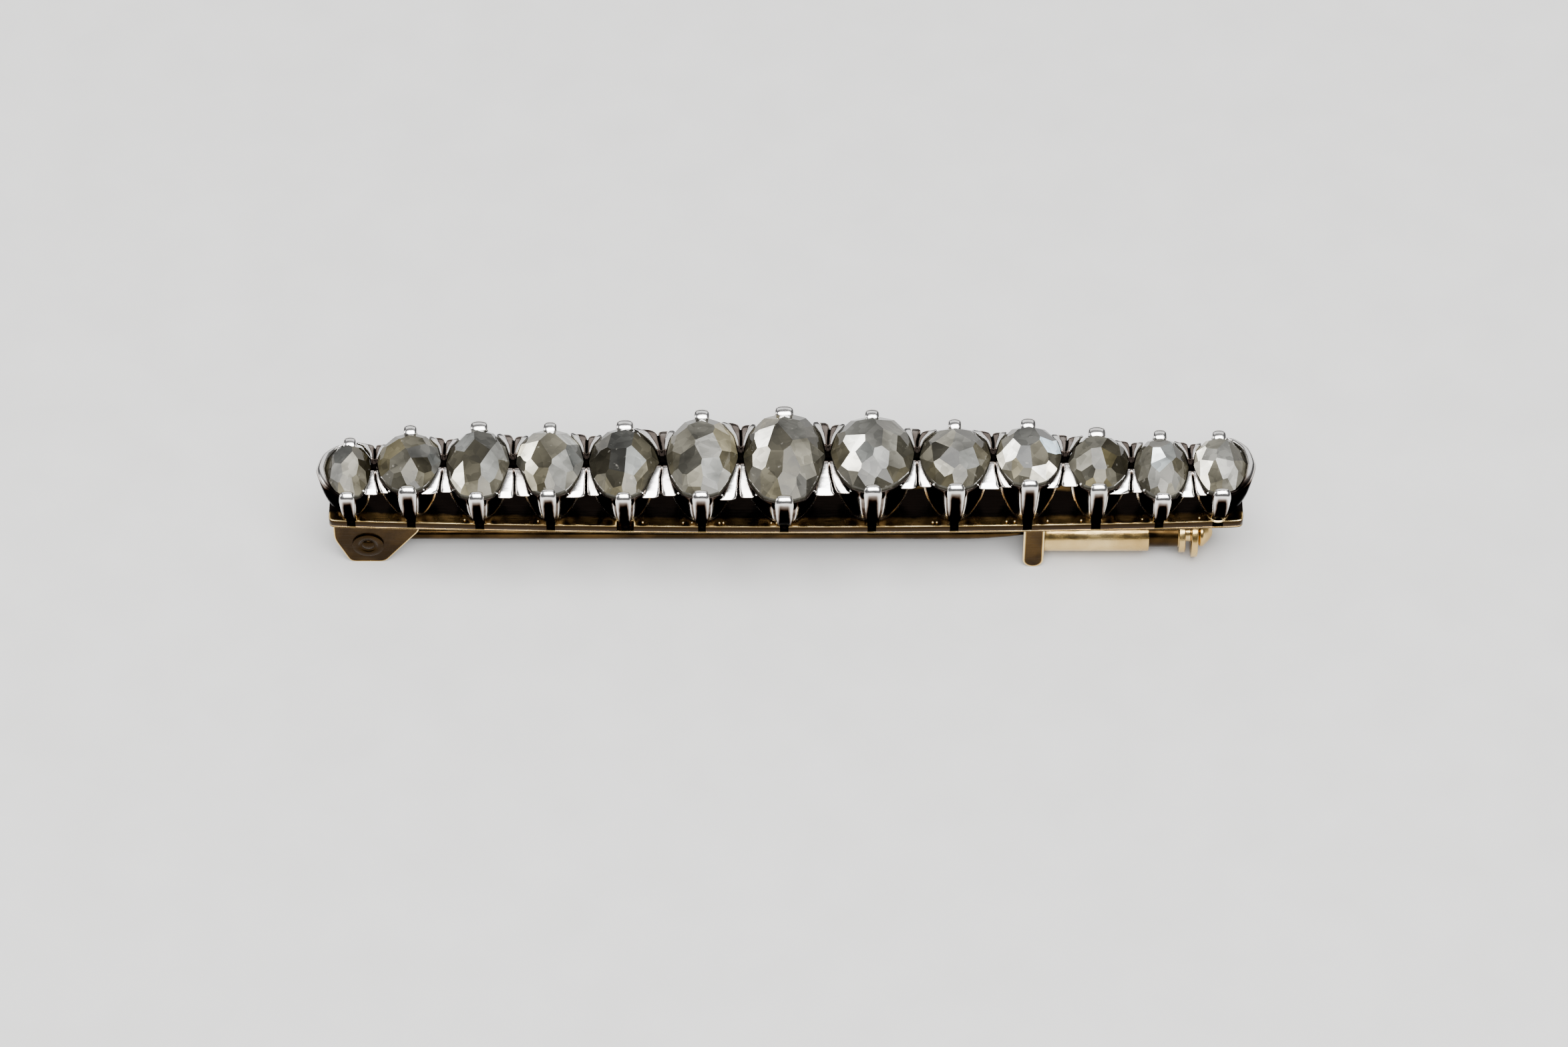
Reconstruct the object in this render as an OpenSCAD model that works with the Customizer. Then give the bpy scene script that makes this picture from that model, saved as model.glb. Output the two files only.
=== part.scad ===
// Bar brooch: thirteen rose-cut stones in silver cups on a gold back, with a hinged pin and a tube catch.
// The bar runs along X, the stones face up, and Z is 0 where the brooch lies. Millimetres.

/* [Bar] */
// Length of the brooch over its two end shoulders
bar_len = 44; // [40:0.5:50]
// Height of the gold plate's underside above what the brooch lies on
stand_h = 2.85; // [2.85:0.05:3.6]

/* [Stones] */
// Length of the middle stone, across the bar
stone_len = 5.4; // [5:0.1:6]
// Rise of the middle stone's crown above its girdle
stone_rise = 1.1; // [0.8:0.05:1.4]
// Thickness of every stone's girdle
girdle_t = 0.22; // [0.16:0.01:0.3]
// Metal between neighbouring stones at their girdles
stone_gap = 0.26; // [0.2:0.02:0.36]
// Clearance round and under each stone
seat_gap = 0.05; // [0.04:0.01:0.08]

/* [Silver setting] */
// Height of the middle cup, from the gold plate to the top of its rim
cup_h = 3.35; // [3:0.05:3.8]
// How much lower the end cups are than the middle one
end_drop = 0.6; // [0:0.05:1]
// Thickness of the cups' walls
cup_wall = 0.26; // [0.2:0.02:0.34]
// Ledge that each stone's flat back rests on
ledge = 0.3; // [0.2:0.02:0.4]
// Width of a claw at the girdle
claw_w = 0.62; // [0.5:0.02:0.8]
// Thickness of a claw
claw_t = 0.3; // [0.24:0.02:0.36]
// Reach of a claw over the middle stone's edge
claw_reach = 0.5; // [0.35:0.05:0.6]
// Thickness of the fishtail plates between the cups
fan_t = 0.34; // [0.24:0.02:0.44]
// Width of the two end shoulders at the girdle
end_wall = 0.4; // [0.34:0.02:0.5]
// How far the shoulders and the fishtail plates' inner ends rise above the girdle
rim_lift = 0.2; // [0.1:0.02:0.26]

/* [Gold plate] */
// Thickness of the plate
plate_t = 0.5; // [0.4:0.05:0.7]
// Width of the plate at the middle
plate_mid_w = 2.9; // [2.6:0.1:3.4]
// Width of the plate at its ends
plate_end_w = 2.1; // [2:0.1:2.4]
// Width of the edge notches that the claws' feet stand in
notch_w = 0.52; // [0.46:0.02:0.6]
// Depth of those notches
notch_d = 0.32; // [0.28:0.02:0.36]
// Clearance of a foot in its notch
foot_gap = 0.04; // [0.03:0.01:0.06]

/* [Pin] */
// Diameter of the pin wire
pin_d = 0.72; // [0.6:0.02:0.76]
// Length of the ground point
point_len = 3.4; // [2:0.1:5]
// Diameter of the pin's knuckle
knuckle_d = 1.3; // [1.2:0.05:1.4]
// Width of the knuckle, along its rivet
knuckle_w = 0.78; // [0.76:0.02:0.9]
// Distance of the hinge's rivet from the left end of the brooch
hinge_inset = 2.3; // [2:0.1:3]
// Height of the pin's axis above what the brooch lies on
pin_h = 1.28; // [1.26:0.01:1.4]

/* [Hinge] */
// Diameter of the rivet
rivet_d = 0.5; // [0.4:0.02:0.56]
// Running clearance of the knuckle on its rivet
rivet_gap = 0.03; // [0.02:0.01:0.05]
// Clearance between the knuckle and each cheek
cheek_gap = 0.04; // [0.03:0.01:0.08]
// Thickness of each cheek
cheek_t = 0.36; // [0.3:0.02:0.44]
// Diameter of the round boss on each cheek
boss_d = 1.5; // [1.4:0.05:1.7]
// How far the boss stands proud of its cheek
boss_t = 0.1; // [0.06:0.02:0.14]

/* [Catch] */
// Length of the fixed barrel
barrel_len = 5; // [4:0.1:5.6]
// Outside diameter of the barrel
barrel_d = 1.84; // [1.8:0.02:2]
// Wall of the barrel
barrel_wall = 0.13; // [0.1:0.01:0.16]
// Running clearance between the slide and the barrel
slide_gap = 0.04; // [0.03:0.01:0.06]
// Inside diameter of the slide
slide_bore_d = 0.96; // [0.9:0.02:1]
// Travel of the slide, from drawn out to closed over the point
slide_travel = 1.36; // [1:0.02:1.5]
// Distance of the knob's round tip from the right end of the brooch
knob_inset = 1.85; // [1.5:0.05:2.2]
// Diameter of the knob's larger flange
knob_d = 2.4; // [2.1:0.05:2.45]
// Width of each guide tongue, along the bar
tongue_w = 1; // [0.8:0.05:1.2]
// Thickness of each guide tongue
tongue_t = 0.28; // [0.22:0.02:0.36]

/* [Hidden] */
$fn = 48;

silver = "#cdcac4";
gold = "#b8923f";
diamond = "#b4b2a8";

// One row for each stone, from the left: its share of the row, its length and its rise as shares of the
// middle stone's, its shift across the bar as a share of the middle stone's length, how much lower it sits as
// a share of the middle cup's height, and the turn of its facets in degrees
STONES = [
    [0.60, 0.60, 0.85, -0.04, 0.07, 12],
    [0.79, 0.66, 0.75, 0, 0, 5],
    [0.79, 0.78, 0.90, -0.02, 0.03, 20],
    [0.85, 0.74, 0.85, -0.02, 0.03, 0],
    [0.87, 0.80, 0.90, -0.03, 0.04, 28],
    [0.90, 0.90, 0.95, 0, 0, 8],
    [1.00, 1.00, 1.00, 0, 0, 15],
    [1.02, 0.85, 0.95, 0.03, -0.03, 3],
    [0.88, 0.70, 0.90, 0, 0, 22],
    [0.81, 0.68, 0.95, 0.02, -0.03, 10],
    [0.77, 0.62, 0.80, -0.01, 0.01, 25],
    [0.69, 0.68, 0.85, -0.04, 0.05, 6],
    [0.67, 0.64, 0.85, -0.01, 0.02, 18]];
CELL = 0;
LENGTH = 1;
RISE = 2;
SHIFT = 3;
SINK = 4;
TURN = 5;
last = len(STONES) - 1;

// The row of stones: cells side by side between the end shoulders
function cells_before(i) = i == 0 ? 0 : STONES[i - 1][CELL] + cells_before(i - 1);
row_len = bar_len - 2 * end_wall;
cell_unit = row_len / cells_before(last + 1);
function left_x(i) = cells_before(i) * cell_unit - row_len / 2;
function mid_x(i) = left_x(i) + STONES[i][CELL] * cell_unit / 2;
function mid_y(i) = STONES[i][SHIFT] * stone_len;
function half_w(i) = (STONES[i][CELL] * cell_unit - stone_gap) / 2;
function half_l(i) = STONES[i][LENGTH] * stone_len / 2;
function rise(i) = STONES[i][RISE] * stone_rise;
plate_top = stand_h + plate_t;
function along(x) = 2 * x / bar_len;
function rim_z(i) = plate_top + cup_h * (1 - STONES[i][SINK]) - end_drop * pow(along(mid_x(i)), 2);
function back_z(i) = rim_z(i) - girdle_t;

// Half of the plate's width at any place along it: a shallow bow
function plate_half(x) = (plate_end_w + (plate_mid_w - plate_end_w) * (1 - pow(along(x), 2))) / 2;
plate_inset = 0.55;
plate_len = bar_len - 2 * plate_inset;

// A cup's plan grows from its foot on the plate to its rim, as rings at shares of its height. The rim stops a
// little below the girdle's upper edge, and neighbouring cups run into each other by the join
CUP_SIDES = 20;
CUP_RINGS = [[0, 0], [0.25, 0.42], [0.6, 0.8], [1, 1]];
foot_share = 0.6;
foot_inset = 0.3;
join = 0.03;
rim_w = stone_gap / 2 + join;
rim_drop = girdle_t * 0.45;
shoulder_shift = end_wall + stone_gap / 2 - rim_w;

// The stone's crown: a ring of six points between the girdle and the peak
GIRDLE_SIDES = 12;
crown_ring = 0.56;
crown_ring_rise = 0.74;

// The pin's hinge and its catch
hinge_x = hinge_inset - bar_len / 2;
knob_tip_x = bar_len / 2 - knob_inset;
barrel_bore_r = barrel_d / 2 - barrel_wall;
slide_r = barrel_bore_r - slide_gap;
flange_w = 0.3;
neck_w = 0.28;
tip_len = 0.75;
knob_x = knob_tip_x - tip_len - 2 * flange_w - neck_w;
stop_gap = 0.05;
barrel_end_x = knob_x - slide_travel - stop_gap;
barrel_x = barrel_end_x - barrel_len;
barrel_soft = 0.6 * barrel_wall;
keel_w = 0.4 * barrel_d;
slide_inset = 0.3;
slide_x = barrel_x + slide_inset;
pin_tip_gap = 0.2;
pin_tip_x = barrel_x - pin_tip_gap;
cheek_y = knuckle_w / 2 + cheek_gap;
rivet_fit = 0.01;
overlap = 0.05;

function oval(rx, ry, cx, cy, z, n, turn = 0) =
    [for (k = [0 : n - 1]) [cx + rx * cos(turn + 360 * k / n), cy + ry * sin(turn + 360 * k / n), z]];

// A solid skinned over rings of equally many points, each ring anticlockwise seen from the end of the path
function skin_sides(n, m) = [for (j = [0 : m - 1], k = [0 : n - 1])
    each [[j * n + k, (j + 1) * n + k, (j + 1) * n + (k + 1) % n],
          [j * n + k, (j + 1) * n + (k + 1) % n, j * n + (k + 1) % n]]];
module skin(rings) {
    n = len(rings[0]);
    m = len(rings) - 1;
    polyhedron([for (r = rings) each r],
        concat([[for (k = [0 : n - 1]) k]], skin_sides(n, m), [[for (k = [n - 1 : -1 : 0]) m * n + k]]),
        convexity = 6);
}

// The same with each end drawn out to a blunt nose
function middle(ring) = [for (p = ring) 1 / len(ring)] * ring;
function nose_of(ring, next, nose) =
    let (d = middle(ring) - middle(next))
    middle(ring) + nose * d / norm(d);
module nosed_skin(rings, nose) {
    n = len(rings[0]);
    m = len(rings) - 1;
    tip = (m + 1) * n;
    polyhedron(
        concat([for (r = rings) each r],
            [nose_of(rings[0], rings[1], nose), nose_of(rings[m], rings[m - 1], nose)]),
        concat([for (k = [0 : n - 1]) [k, (k + 1) % n, tip]], skin_sides(n, m),
            [for (k = [0 : n - 1]) [m * n + (k + 1) % n, m * n + k, tip + 1]]),
        convexity = 6);
}

// A cup's ring at a share of its height, with its wall taken in by an inset
function foot_l(i) = plate_half(mid_x(i)) - foot_inset;
function cup_z(i, h) = plate_top + h * (rim_z(i) - rim_drop - plate_top);
function cup_ring(i, grow, z, inset, n, turn = 0) = oval(
    foot_share * half_w(i) + grow * (half_w(i) + rim_w - foot_share * half_w(i)) - inset,
    foot_l(i) + grow * (half_l(i) + rim_w - foot_l(i)) - inset,
    mid_x(i), mid_y(i) * grow, z, n, turn);

module cup_shell(i, lift = 0) {
    skin([for (r = CUP_RINGS) cup_ring(i, r[1], cup_z(i, r[0]) + lift * r[1], 0, CUP_SIDES)]);
}

// The hollow under the stone and the pocket that it sits in, with the stone's own number of sides
module cup_hollow(i) {
    n = GIRDLE_SIDES;
    turn = STONES[i][TURN];
    low = CUP_RINGS[0];
    bend = CUP_RINGS[1];
    seat = back_z(i) - seat_gap;
    skin([
        cup_ring(i, low[1], plate_top - overlap, cup_wall, n, turn),
        cup_ring(i, bend[1], cup_z(i, bend[0]), cup_wall, n, turn),
        oval(half_w(i) - ledge, half_l(i) - ledge, mid_x(i), mid_y(i), seat + overlap, n, turn)]);
    pocket(i, seat, rim_z(i) + overlap);
}
module pocket(i, low, high) {
    gap = seat_gap / cos(180 / GIRDLE_SIDES);
    skin([for (z = [low, high])
        oval(half_w(i) + gap, half_l(i) + gap, mid_x(i), mid_y(i), z, GIRDLE_SIDES, STONES[i][TURN])]);
}

// A strip of metal that follows a path up the cup's wall: each stop has its place outward from the stone's
// middle, its height, its width and its thickness, and the strip's outer side is rounded
function strip_ring(p, q, stop) =
    let (d = q - p, u = d / norm(d), out = [-u[1], u[0]], w = stop[2] / 2, t = stop[3] / 2)
    [for (c = [[1, -1], [0.8, 0.6], [0, 1], [-0.8, 0.6], [-1, -1]])
        [c[0] * w, stop[0] - out[0] * c[1] * t, stop[1] - out[1] * c[1] * t]];
module strip(stops, nose) {
    m = len(stops) - 1;
    nosed_skin([for (j = [0 : m])
        let (a = stops[max(j - 1, 0)], b = stops[min(j + 1, m)])
        strip_ring([a[0], a[1]], [b[0], b[1]], stops[j])], nose);
}

// Where a cup's wall lies at a share of its height, outward from the stone's middle on one side
function wall_l(i, h, side) =
    let (grow = lookup(h, CUP_RINGS))
    foot_l(i) + grow * (half_l(i) + rim_w - foot_l(i)) - side * mid_y(i) * (1 - grow);

// A claw on one side of a stone: its foot stands in the plate's notch, it is broadest low on the cup's wall,
// and its tip bends over onto the crown. The shares are of the cup's height and the claw's own sizes
claw_low = 0.25;
claw_high = 0.6;
claw_broad = 1.25;
claw_bend = 0.4;
claw_tip_w = 0.6;
claw_tip_t = 0.5;
claw_nose = 0.06;
module claw(i, side) {
    size = sqrt(STONES[i][LENGTH]);
    edge = half_l(i);
    rim = rim_z(i);
    foot = plate_half(mid_x(i)) - (notch_d - foot_gap) / 2 - side * mid_y(i);
    foot_t = notch_d - foot_gap;
    foot_w = notch_w - 2 * foot_gap;
    reach = claw_reach * size;
    grip = rise(i) * crown_ring_rise * reach / (edge * (1 - crown_ring)) + claw_t / 2 + seat_gap;
    width = claw_w * size;
    mirrored = side > 0 ? 0 : 1;
    translate([mid_x(i), mid_y(i), 0]) mirror([0, mirrored, 0]) strip([
        [foot, stand_h + 2 * claw_nose, foot_w, foot_t],
        [foot, plate_top + overlap, foot_w, foot_t],
        [wall_l(i, claw_low, side), cup_z(i, claw_low), width * claw_broad, claw_t],
        [wall_l(i, claw_high, side), cup_z(i, claw_high), width, claw_t],
        [edge + seat_gap + claw_t / 2, rim, width, claw_t],
        [edge + seat_gap, rim + claw_t, width, claw_t],
        [edge - claw_bend * reach, rim + 2 * claw_bend * grip, width, claw_t],
        [edge - reach, rim + grip, width * claw_tip_w, claw_t * claw_tip_t]], claw_nose);
}

// Where the edge of a stone lies from its cell's side, at a place across the bar
function edge_from_cell(i, y) =
    let (s = min(1, abs(y - mid_y(i)) / half_l(i)))
    stone_gap / 2 + half_w(i) * (1 - sqrt(1 - s * s));

// A fishtail plate between two stones: two fluted lobes with a groove between, falling away outward. It runs
// a little way under both stones' edges before their pockets trim it
fan_in = 0.16;
fan_out = 0.82;
fan_fall = 0.14;
flute = 0.1;
fan_nose = 0.06;
trim = 0.08;
FAN_STEPS = 3;
function fan_ring(i, y, z, side) =
    let (l = edge_from_cell(i, y) + trim, r = edge_from_cell(i + 1, y) + trim,
        top = [[-l, 0], [-l / 2, flute], [0, -flute], [r / 2, flute], [r, 0]],
        low = [[r, -fan_t], [-l, -fan_t]],
        ring = [for (c = concat(top, low)) [left_x(i + 1) + c[0], y, z + c[1]]])
    side > 0 ? ring : [for (k = [len(ring) - 1 : -1 : 0]) ring[k]];
module fan(i, side) {
    long = min(half_l(i), half_l(i + 1));
    level = (rim_z(i) + rim_z(i + 1)) / 2;
    mid = (mid_y(i) + mid_y(i + 1)) / 2;
    difference() {
        nosed_skin([for (k = [0 : FAN_STEPS])
            let (s = k / FAN_STEPS, y = mid + side * (fan_in + (fan_out - fan_in) * s) * long)
            fan_ring(i, y, level + rim_lift - (rim_lift + fan_fall) * s, side)], fan_nose);
        for (j = [i, i + 1]) pocket(j, back_z(j) - seat_gap, rim_z(j) + 3 * rim_lift);
    }
}

// The shoulder that closes an end of the row: the end cup's wall again, moved outward and raised
module end_shoulder(i, side) {
    difference() {
        translate([side * shoulder_shift, 0, 0]) cup_shell(i, rim_lift);
        pocket(i, back_z(i) - seat_gap, rim_z(i) + 3 * rim_lift);
    }
}

module silver_setting() {
    color(silver) difference() {
        union() {
            for (i = [0 : last]) cup_shell(i);
            for (i = [0 : last], side = [-1, 1]) claw(i, side);
            for (i = [0 : last - 1], side = [-1, 1]) fan(i, side);
            end_shoulder(0, -1);
            end_shoulder(last, 1);
        }
        for (i = [0 : last]) cup_hollow(i);
    }
}

// A rose cut: a flat back, a thin girdle, eighteen facets up to a ring of six points, and six to the peak
module stone(i) {
    n = GIRDLE_SIDES;
    turn = STONES[i][TURN];
    low = oval(half_w(i), half_l(i), 0, 0, 0, n, turn);
    girdle = oval(half_w(i), half_l(i), 0, 0, girdle_t, n, turn);
    crown = oval(half_w(i) * crown_ring, half_l(i) * crown_ring, 0, 0,
        girdle_t + rise(i) * crown_ring_rise, n / 2, turn);
    peak = 2 * n + n / 2;
    walls = [for (k = [0 : n - 1]) [k, n + k, n + (k + 1) % n, (k + 1) % n]];
    lower = [for (k = [0 : n / 2 - 1])
        let (c = 2 * n + k, d = 2 * n + (k + 1) % (n / 2), g = n + 2 * k, h = n + (2 * k + 2) % n)
        each [[g, c, g + 1], [g + 1, c, d], [g + 1, d, h]]];
    star = [for (k = [0 : n / 2 - 1]) [2 * n + k, peak, 2 * n + (k + 1) % (n / 2)]];
    color(diamond) translate([mid_x(i), mid_y(i), back_z(i)])
        polyhedron(concat(low, girdle, crown, [[0, 0, girdle_t + rise(i)]]),
            concat([[for (k = [0 : n - 1]) k]], walls, lower, star), convexity = 2);
}

// The plate's bowed outline, with a notch at every claw's foot
PLATE_STEPS = 24;
module plate() {
    xs = [for (k = [0 : PLATE_STEPS]) plate_len * (k / PLATE_STEPS - 0.5)];
    translate([0, 0, stand_h]) difference() {
        linear_extrude(plate_t) polygon(concat(
            [for (x = xs) [x, -plate_half(x)]],
            [for (k = [PLATE_STEPS : -1 : 0]) [xs[k], plate_half(xs[k])]]));
        for (i = [0 : last], side = [-1, 1])
            translate([mid_x(i) - notch_w / 2, side * plate_half(mid_x(i)) - notch_d, -overlap])
                cube([notch_w, 2 * notch_d, plate_t + 2 * overlap]);
    }
}

// A hinge cheek: a plate with a slanting inner end, and a round boss at the rivet. Its outline holds places
// along the bar in boss diameters from the rivet, and heights as shares of the plate's own
CHEEK = [[-0.6, 0], [0.5, 0], [1.65, 0.8], [1.65, 1], [-1.06, 1], [-1.06, 0.58]];
module cheek(side) {
    mirror([0, side > 0 ? 0 : 1, 0]) {
        translate([hinge_x, cheek_y + cheek_t, 0]) rotate([90, 0, 0]) linear_extrude(cheek_t)
            polygon([for (c = CHEEK) [c[0] * boss_d, c[1] * (stand_h + overlap)]]);
        translate([hinge_x, cheek_y + cheek_t + boss_t, pin_h]) rotate([90, 0, 0])
            cylinder(d = boss_d, h = cheek_t);
    }
}

module rivet_hole(d) {
    translate([hinge_x, 0, pin_h]) rotate([90, 0, 0])
        cylinder(d = d, h = 4 * (cheek_y + cheek_t), center = true);
}

// A guide tongue: it hangs from the plate beside the barrel's mouth and ends in a round toe
tongue_y = slide_r + 2 * slide_gap;
module tongue(side) {
    mirror([0, side > 0 ? 0 : 1, 0]) translate([barrel_x - tongue_w + overlap, tongue_y, 0]) {
        translate([0, 0, tongue_w / 2]) cube([tongue_w, tongue_t, stand_h + overlap - tongue_w / 2]);
        translate([tongue_w / 2, tongue_t, tongue_w / 2]) rotate([90, 0, 0])
            cylinder(d = tongue_w, h = tongue_t);
    }
}

// The fixed barrel with a softened outer end, hung from the plate on its keel
module barrel() {
    translate([barrel_x, 0, pin_h]) rotate([0, 90, 0]) {
        cylinder(d = barrel_d, h = barrel_len - barrel_soft);
        translate([0, 0, barrel_len - barrel_soft])
            cylinder(d1 = barrel_d, d2 = barrel_d - 2 * barrel_soft, h = barrel_soft);
    }
    keel_z = pin_h + barrel_bore_r + barrel_wall / 2;
    translate([barrel_x, -keel_w / 2, keel_z])
        cube([barrel_len - 2 * barrel_soft, keel_w, stand_h + overlap - keel_z]);
}

module gold_back() {
    color(gold) difference() {
        union() {
            plate();
            cheek(-1);
            cheek(1);
            tongue(-1);
            tongue(1);
            barrel();
        }
        rivet_hole(rivet_d + 2 * rivet_fit);
        translate([barrel_x - overlap, 0, pin_h]) rotate([0, 90, 0])
            cylinder(r = barrel_bore_r, h = barrel_len + 2 * overlap);
    }
}

module hinge_rivet() {
    color(gold) translate([hinge_x, 0, pin_h]) rotate([90, 0, 0])
        cylinder(d = rivet_d, h = 2 * (cheek_y + cheek_t + boss_t), center = true);
}

// The pin: a knuckle on the rivet, a root that tapers from the knuckle's width until it is past the cheeks,
// and a straight wire ground to a point
root_len = CHEEK[2][0] * boss_d + 4 * cheek_gap;
point_end = 0.2;
module pin() {
    shank = pin_tip_x - hinge_x - point_len;
    color(gold) difference() {
        union() {
            translate([hinge_x, 0, pin_h]) rotate([90, 0, 0])
                cylinder(d = knuckle_d, h = knuckle_w, center = true);
            translate([hinge_x, 0, pin_h]) rotate([0, 90, 0]) {
                cylinder(d1 = knuckle_w, d2 = pin_d, h = root_len);
                cylinder(d = pin_d, h = shank);
                translate([0, 0, shank]) cylinder(d1 = pin_d, d2 = pin_d * point_end, h = point_len);
            }
        }
        rivet_hole(rivet_d + 2 * rivet_gap);
    }
}

// The slide: a tube with two flanges and a round tip, turned in one piece. The tip's profile holds shares of
// its length and of its radius
TIP = [[0.15, 1], [0.3, 1], [0.72, 0.62], [1, 0]];
small_flange = 0.82;
neck_share = 0.62;
tip_share = 0.95;
module catch_slide() {
    $fn = 96;
    small_r = small_flange * knob_d / 2;
    neck_r = neck_share * slide_r;
    tip_r = tip_share * slide_r;
    x1 = knob_x - slide_x;
    x2 = x1 + flange_w;
    x3 = x2 + neck_w;
    x4 = x3 + flange_w;
    color(gold) translate([slide_x, 0, pin_h]) rotate([0, 90, 0]) difference() {
        rotate_extrude() polygon(concat(
            [[0, 0], [slide_r, 0], [slide_r, x1], [small_r, x1], [small_r, x2], [neck_r, x2], [neck_r, x3],
                [knob_d / 2, x3], [knob_d / 2, x4], [neck_r, x4]],
            [for (t = TIP) [tip_r * t[1], x4 + t[0] * tip_len]]));
        translate([0, 0, -overlap]) cylinder(d = slide_bore_d, h = x1);
    }
}

gold_back();
silver_setting();
stone(0);  // stone_01
stone(1);  // stone_02
stone(2);  // stone_03
stone(3);  // stone_04
stone(4);  // stone_05
stone(5);  // stone_06
stone(6);  // stone_07
stone(7);  // stone_08
stone(8);  // stone_09
stone(9);  // stone_10
stone(10);  // stone_11
stone(11);  // stone_12
stone(12);  // stone_13
hinge_rivet();
pin();
catch_slide();
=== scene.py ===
import math

import bmesh
import bpy
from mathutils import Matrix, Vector


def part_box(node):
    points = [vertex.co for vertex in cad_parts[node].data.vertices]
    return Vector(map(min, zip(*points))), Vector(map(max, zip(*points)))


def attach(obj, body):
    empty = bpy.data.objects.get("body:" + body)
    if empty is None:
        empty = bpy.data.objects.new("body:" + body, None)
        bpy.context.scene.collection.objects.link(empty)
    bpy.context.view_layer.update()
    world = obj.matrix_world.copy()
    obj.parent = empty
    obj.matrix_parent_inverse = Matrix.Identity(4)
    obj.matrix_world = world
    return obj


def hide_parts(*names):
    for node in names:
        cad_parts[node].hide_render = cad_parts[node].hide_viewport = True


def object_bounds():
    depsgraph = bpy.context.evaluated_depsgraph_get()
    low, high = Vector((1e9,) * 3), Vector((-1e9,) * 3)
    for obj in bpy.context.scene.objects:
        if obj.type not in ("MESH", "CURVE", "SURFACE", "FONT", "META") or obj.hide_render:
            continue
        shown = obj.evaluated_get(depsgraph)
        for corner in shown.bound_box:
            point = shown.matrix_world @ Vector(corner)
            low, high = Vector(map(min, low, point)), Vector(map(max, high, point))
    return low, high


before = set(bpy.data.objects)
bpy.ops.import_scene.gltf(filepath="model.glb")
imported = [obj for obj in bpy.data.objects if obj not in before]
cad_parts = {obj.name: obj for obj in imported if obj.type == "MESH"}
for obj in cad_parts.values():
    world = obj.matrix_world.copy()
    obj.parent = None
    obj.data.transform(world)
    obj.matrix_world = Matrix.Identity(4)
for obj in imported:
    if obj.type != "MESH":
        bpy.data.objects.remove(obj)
cad_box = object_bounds()


# Gold plate
# The strip that everything is soldered to: sheet gold sawn to a shallow bow and worn round at its edges. A
# slot is filed in its edge for each claw's foot, through the sheet but not through the thin liner under it.
MM = 0.001
HALF_BAR = cad_box[1].x / MM
plate_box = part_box("gold_back")
PLATE_T = 0.5
LINER_T = 0.1
PLATE_TOP = plate_box[1].z / MM
PLATE_UNDER = PLATE_TOP - PLATE_T
LINER_TOP = PLATE_UNDER + LINER_T
PLATE_LONG = plate_box[1].x / MM
# Half the plate's width at mid-bar and at the ends of the bar.
PLATE_MID = plate_box[1].y / MM
PLATE_END = 1.05
PLATE_CORNER = 0.3
SHEET_LAP = 0.01
EDGE_WEAR = 0.04
LINER_WEAR = 0.03
SLOT_DEEP = 0.36
SLOT_CORNER = 0.1
SLOT_WIDE = [0.4, 0.4, 0.42, 0.4, 0.8, 0.36, 0.4, 0.4, 0.4, 0.42, 0.44, 0.4, 0.5]
# Tarnish and painted shade run from 0, rubbed bright, to 1, black. Faces, walls and top carry painted dark
# reflection over their tarnish, the walls most.
FACE_DULL = 0.72
WALL_DULL = 0.95
TOP_DULL = 0.58
# A worn edge from a face to the wall: its rise and its inset as shares of the wear, and its tarnish. The edge
# is rubbed bright and carries a painted highlight.
WORN_EDGE = [(0, 2.2, FACE_DULL), (0, 1, 0), (0.3, 0.3, 0), (1.2, 0, WALL_DULL)]
# Painted shade on the plate's top under the cups: its margin from the edge, its ragged fringe and its
# sharpness.
SHADE_MARGIN = 0.42
SHADE_FRINGE = 0.3
SHADE_SHARP = 6
STONE_NODES = [f"stone_{k:02d}" for k in range(1, 14)]
stone_x = [(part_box(name)[0].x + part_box(name)[1].x) / 2 / MM for name in STONE_NODES]


def plate_half(x):
    """Half the plate's width at a place along the bar."""
    return PLATE_END + (PLATE_MID - PLATE_END) * (1 - (x / HALF_BAR) ** 2)


def eased(points, soft, closed=True, steps=4):
    """An outline with each corner rounded off, up to nearly half of the edges beside it."""
    rounded = []
    for k, here in enumerate(points):
        if not closed and k in (0, len(points) - 1):
            rounded.append(here)
            continue
        ends = []
        for other in (points[k - 1], points[(k + 1) % len(points)]):
            step = min(0.45, soft / math.dist(here, other))
            ends.append([here[0] + (other[0] - here[0]) * step, here[1] + (other[1] - here[1]) * step])
        for j in range(steps + 1):
            t = j / steps
            rounded.append(tuple((1 - t) ** 2 * ends[0][c] + 2 * t * (1 - t) * here[c] + t * t * ends[1][c]
                                 for c in (0, 1)))
    return rounded


def drawn_in(outline, inset):
    """An anticlockwise outline moved inward, each corner along its mitre."""
    moved = []
    for k, (x, y) in enumerate(outline):
        normals = []
        for a, b in ((outline[k - 1], (x, y)), ((x, y), outline[(k + 1) % len(outline)])):
            run = math.dist(a, b) or 1
            normals.append(((a[1] - b[1]) / run, (b[0] - a[0]) / run))
        (ax, ay), (bx, by) = normals
        mitre = inset / max(0.5, 1 + ax * bx + ay * by)
        moved.append((x + (ax + bx) * mitre, y + (ay + by) * mitre))
    return moved


def loft(rings, capped=True, closed=False):
    """Faces between rings of equally many points, with flat ends or the last ring joined to the first."""
    count = len(rings[0])
    steps = len(rings) if closed else len(rings) - 1
    faces = []
    for j in range(steps):
        low, high = j * count, (j + 1) % len(rings) * count
        faces += [(low + k, low + (k + 1) % count, high + (k + 1) % count, high + k) for k in range(count)]
    if capped and not closed:
        faces += [tuple(range(count))[::-1], tuple(range((len(rings) - 1) * count, len(rings) * count))]
    return [point for ring in rings for point in ring], faces


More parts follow.
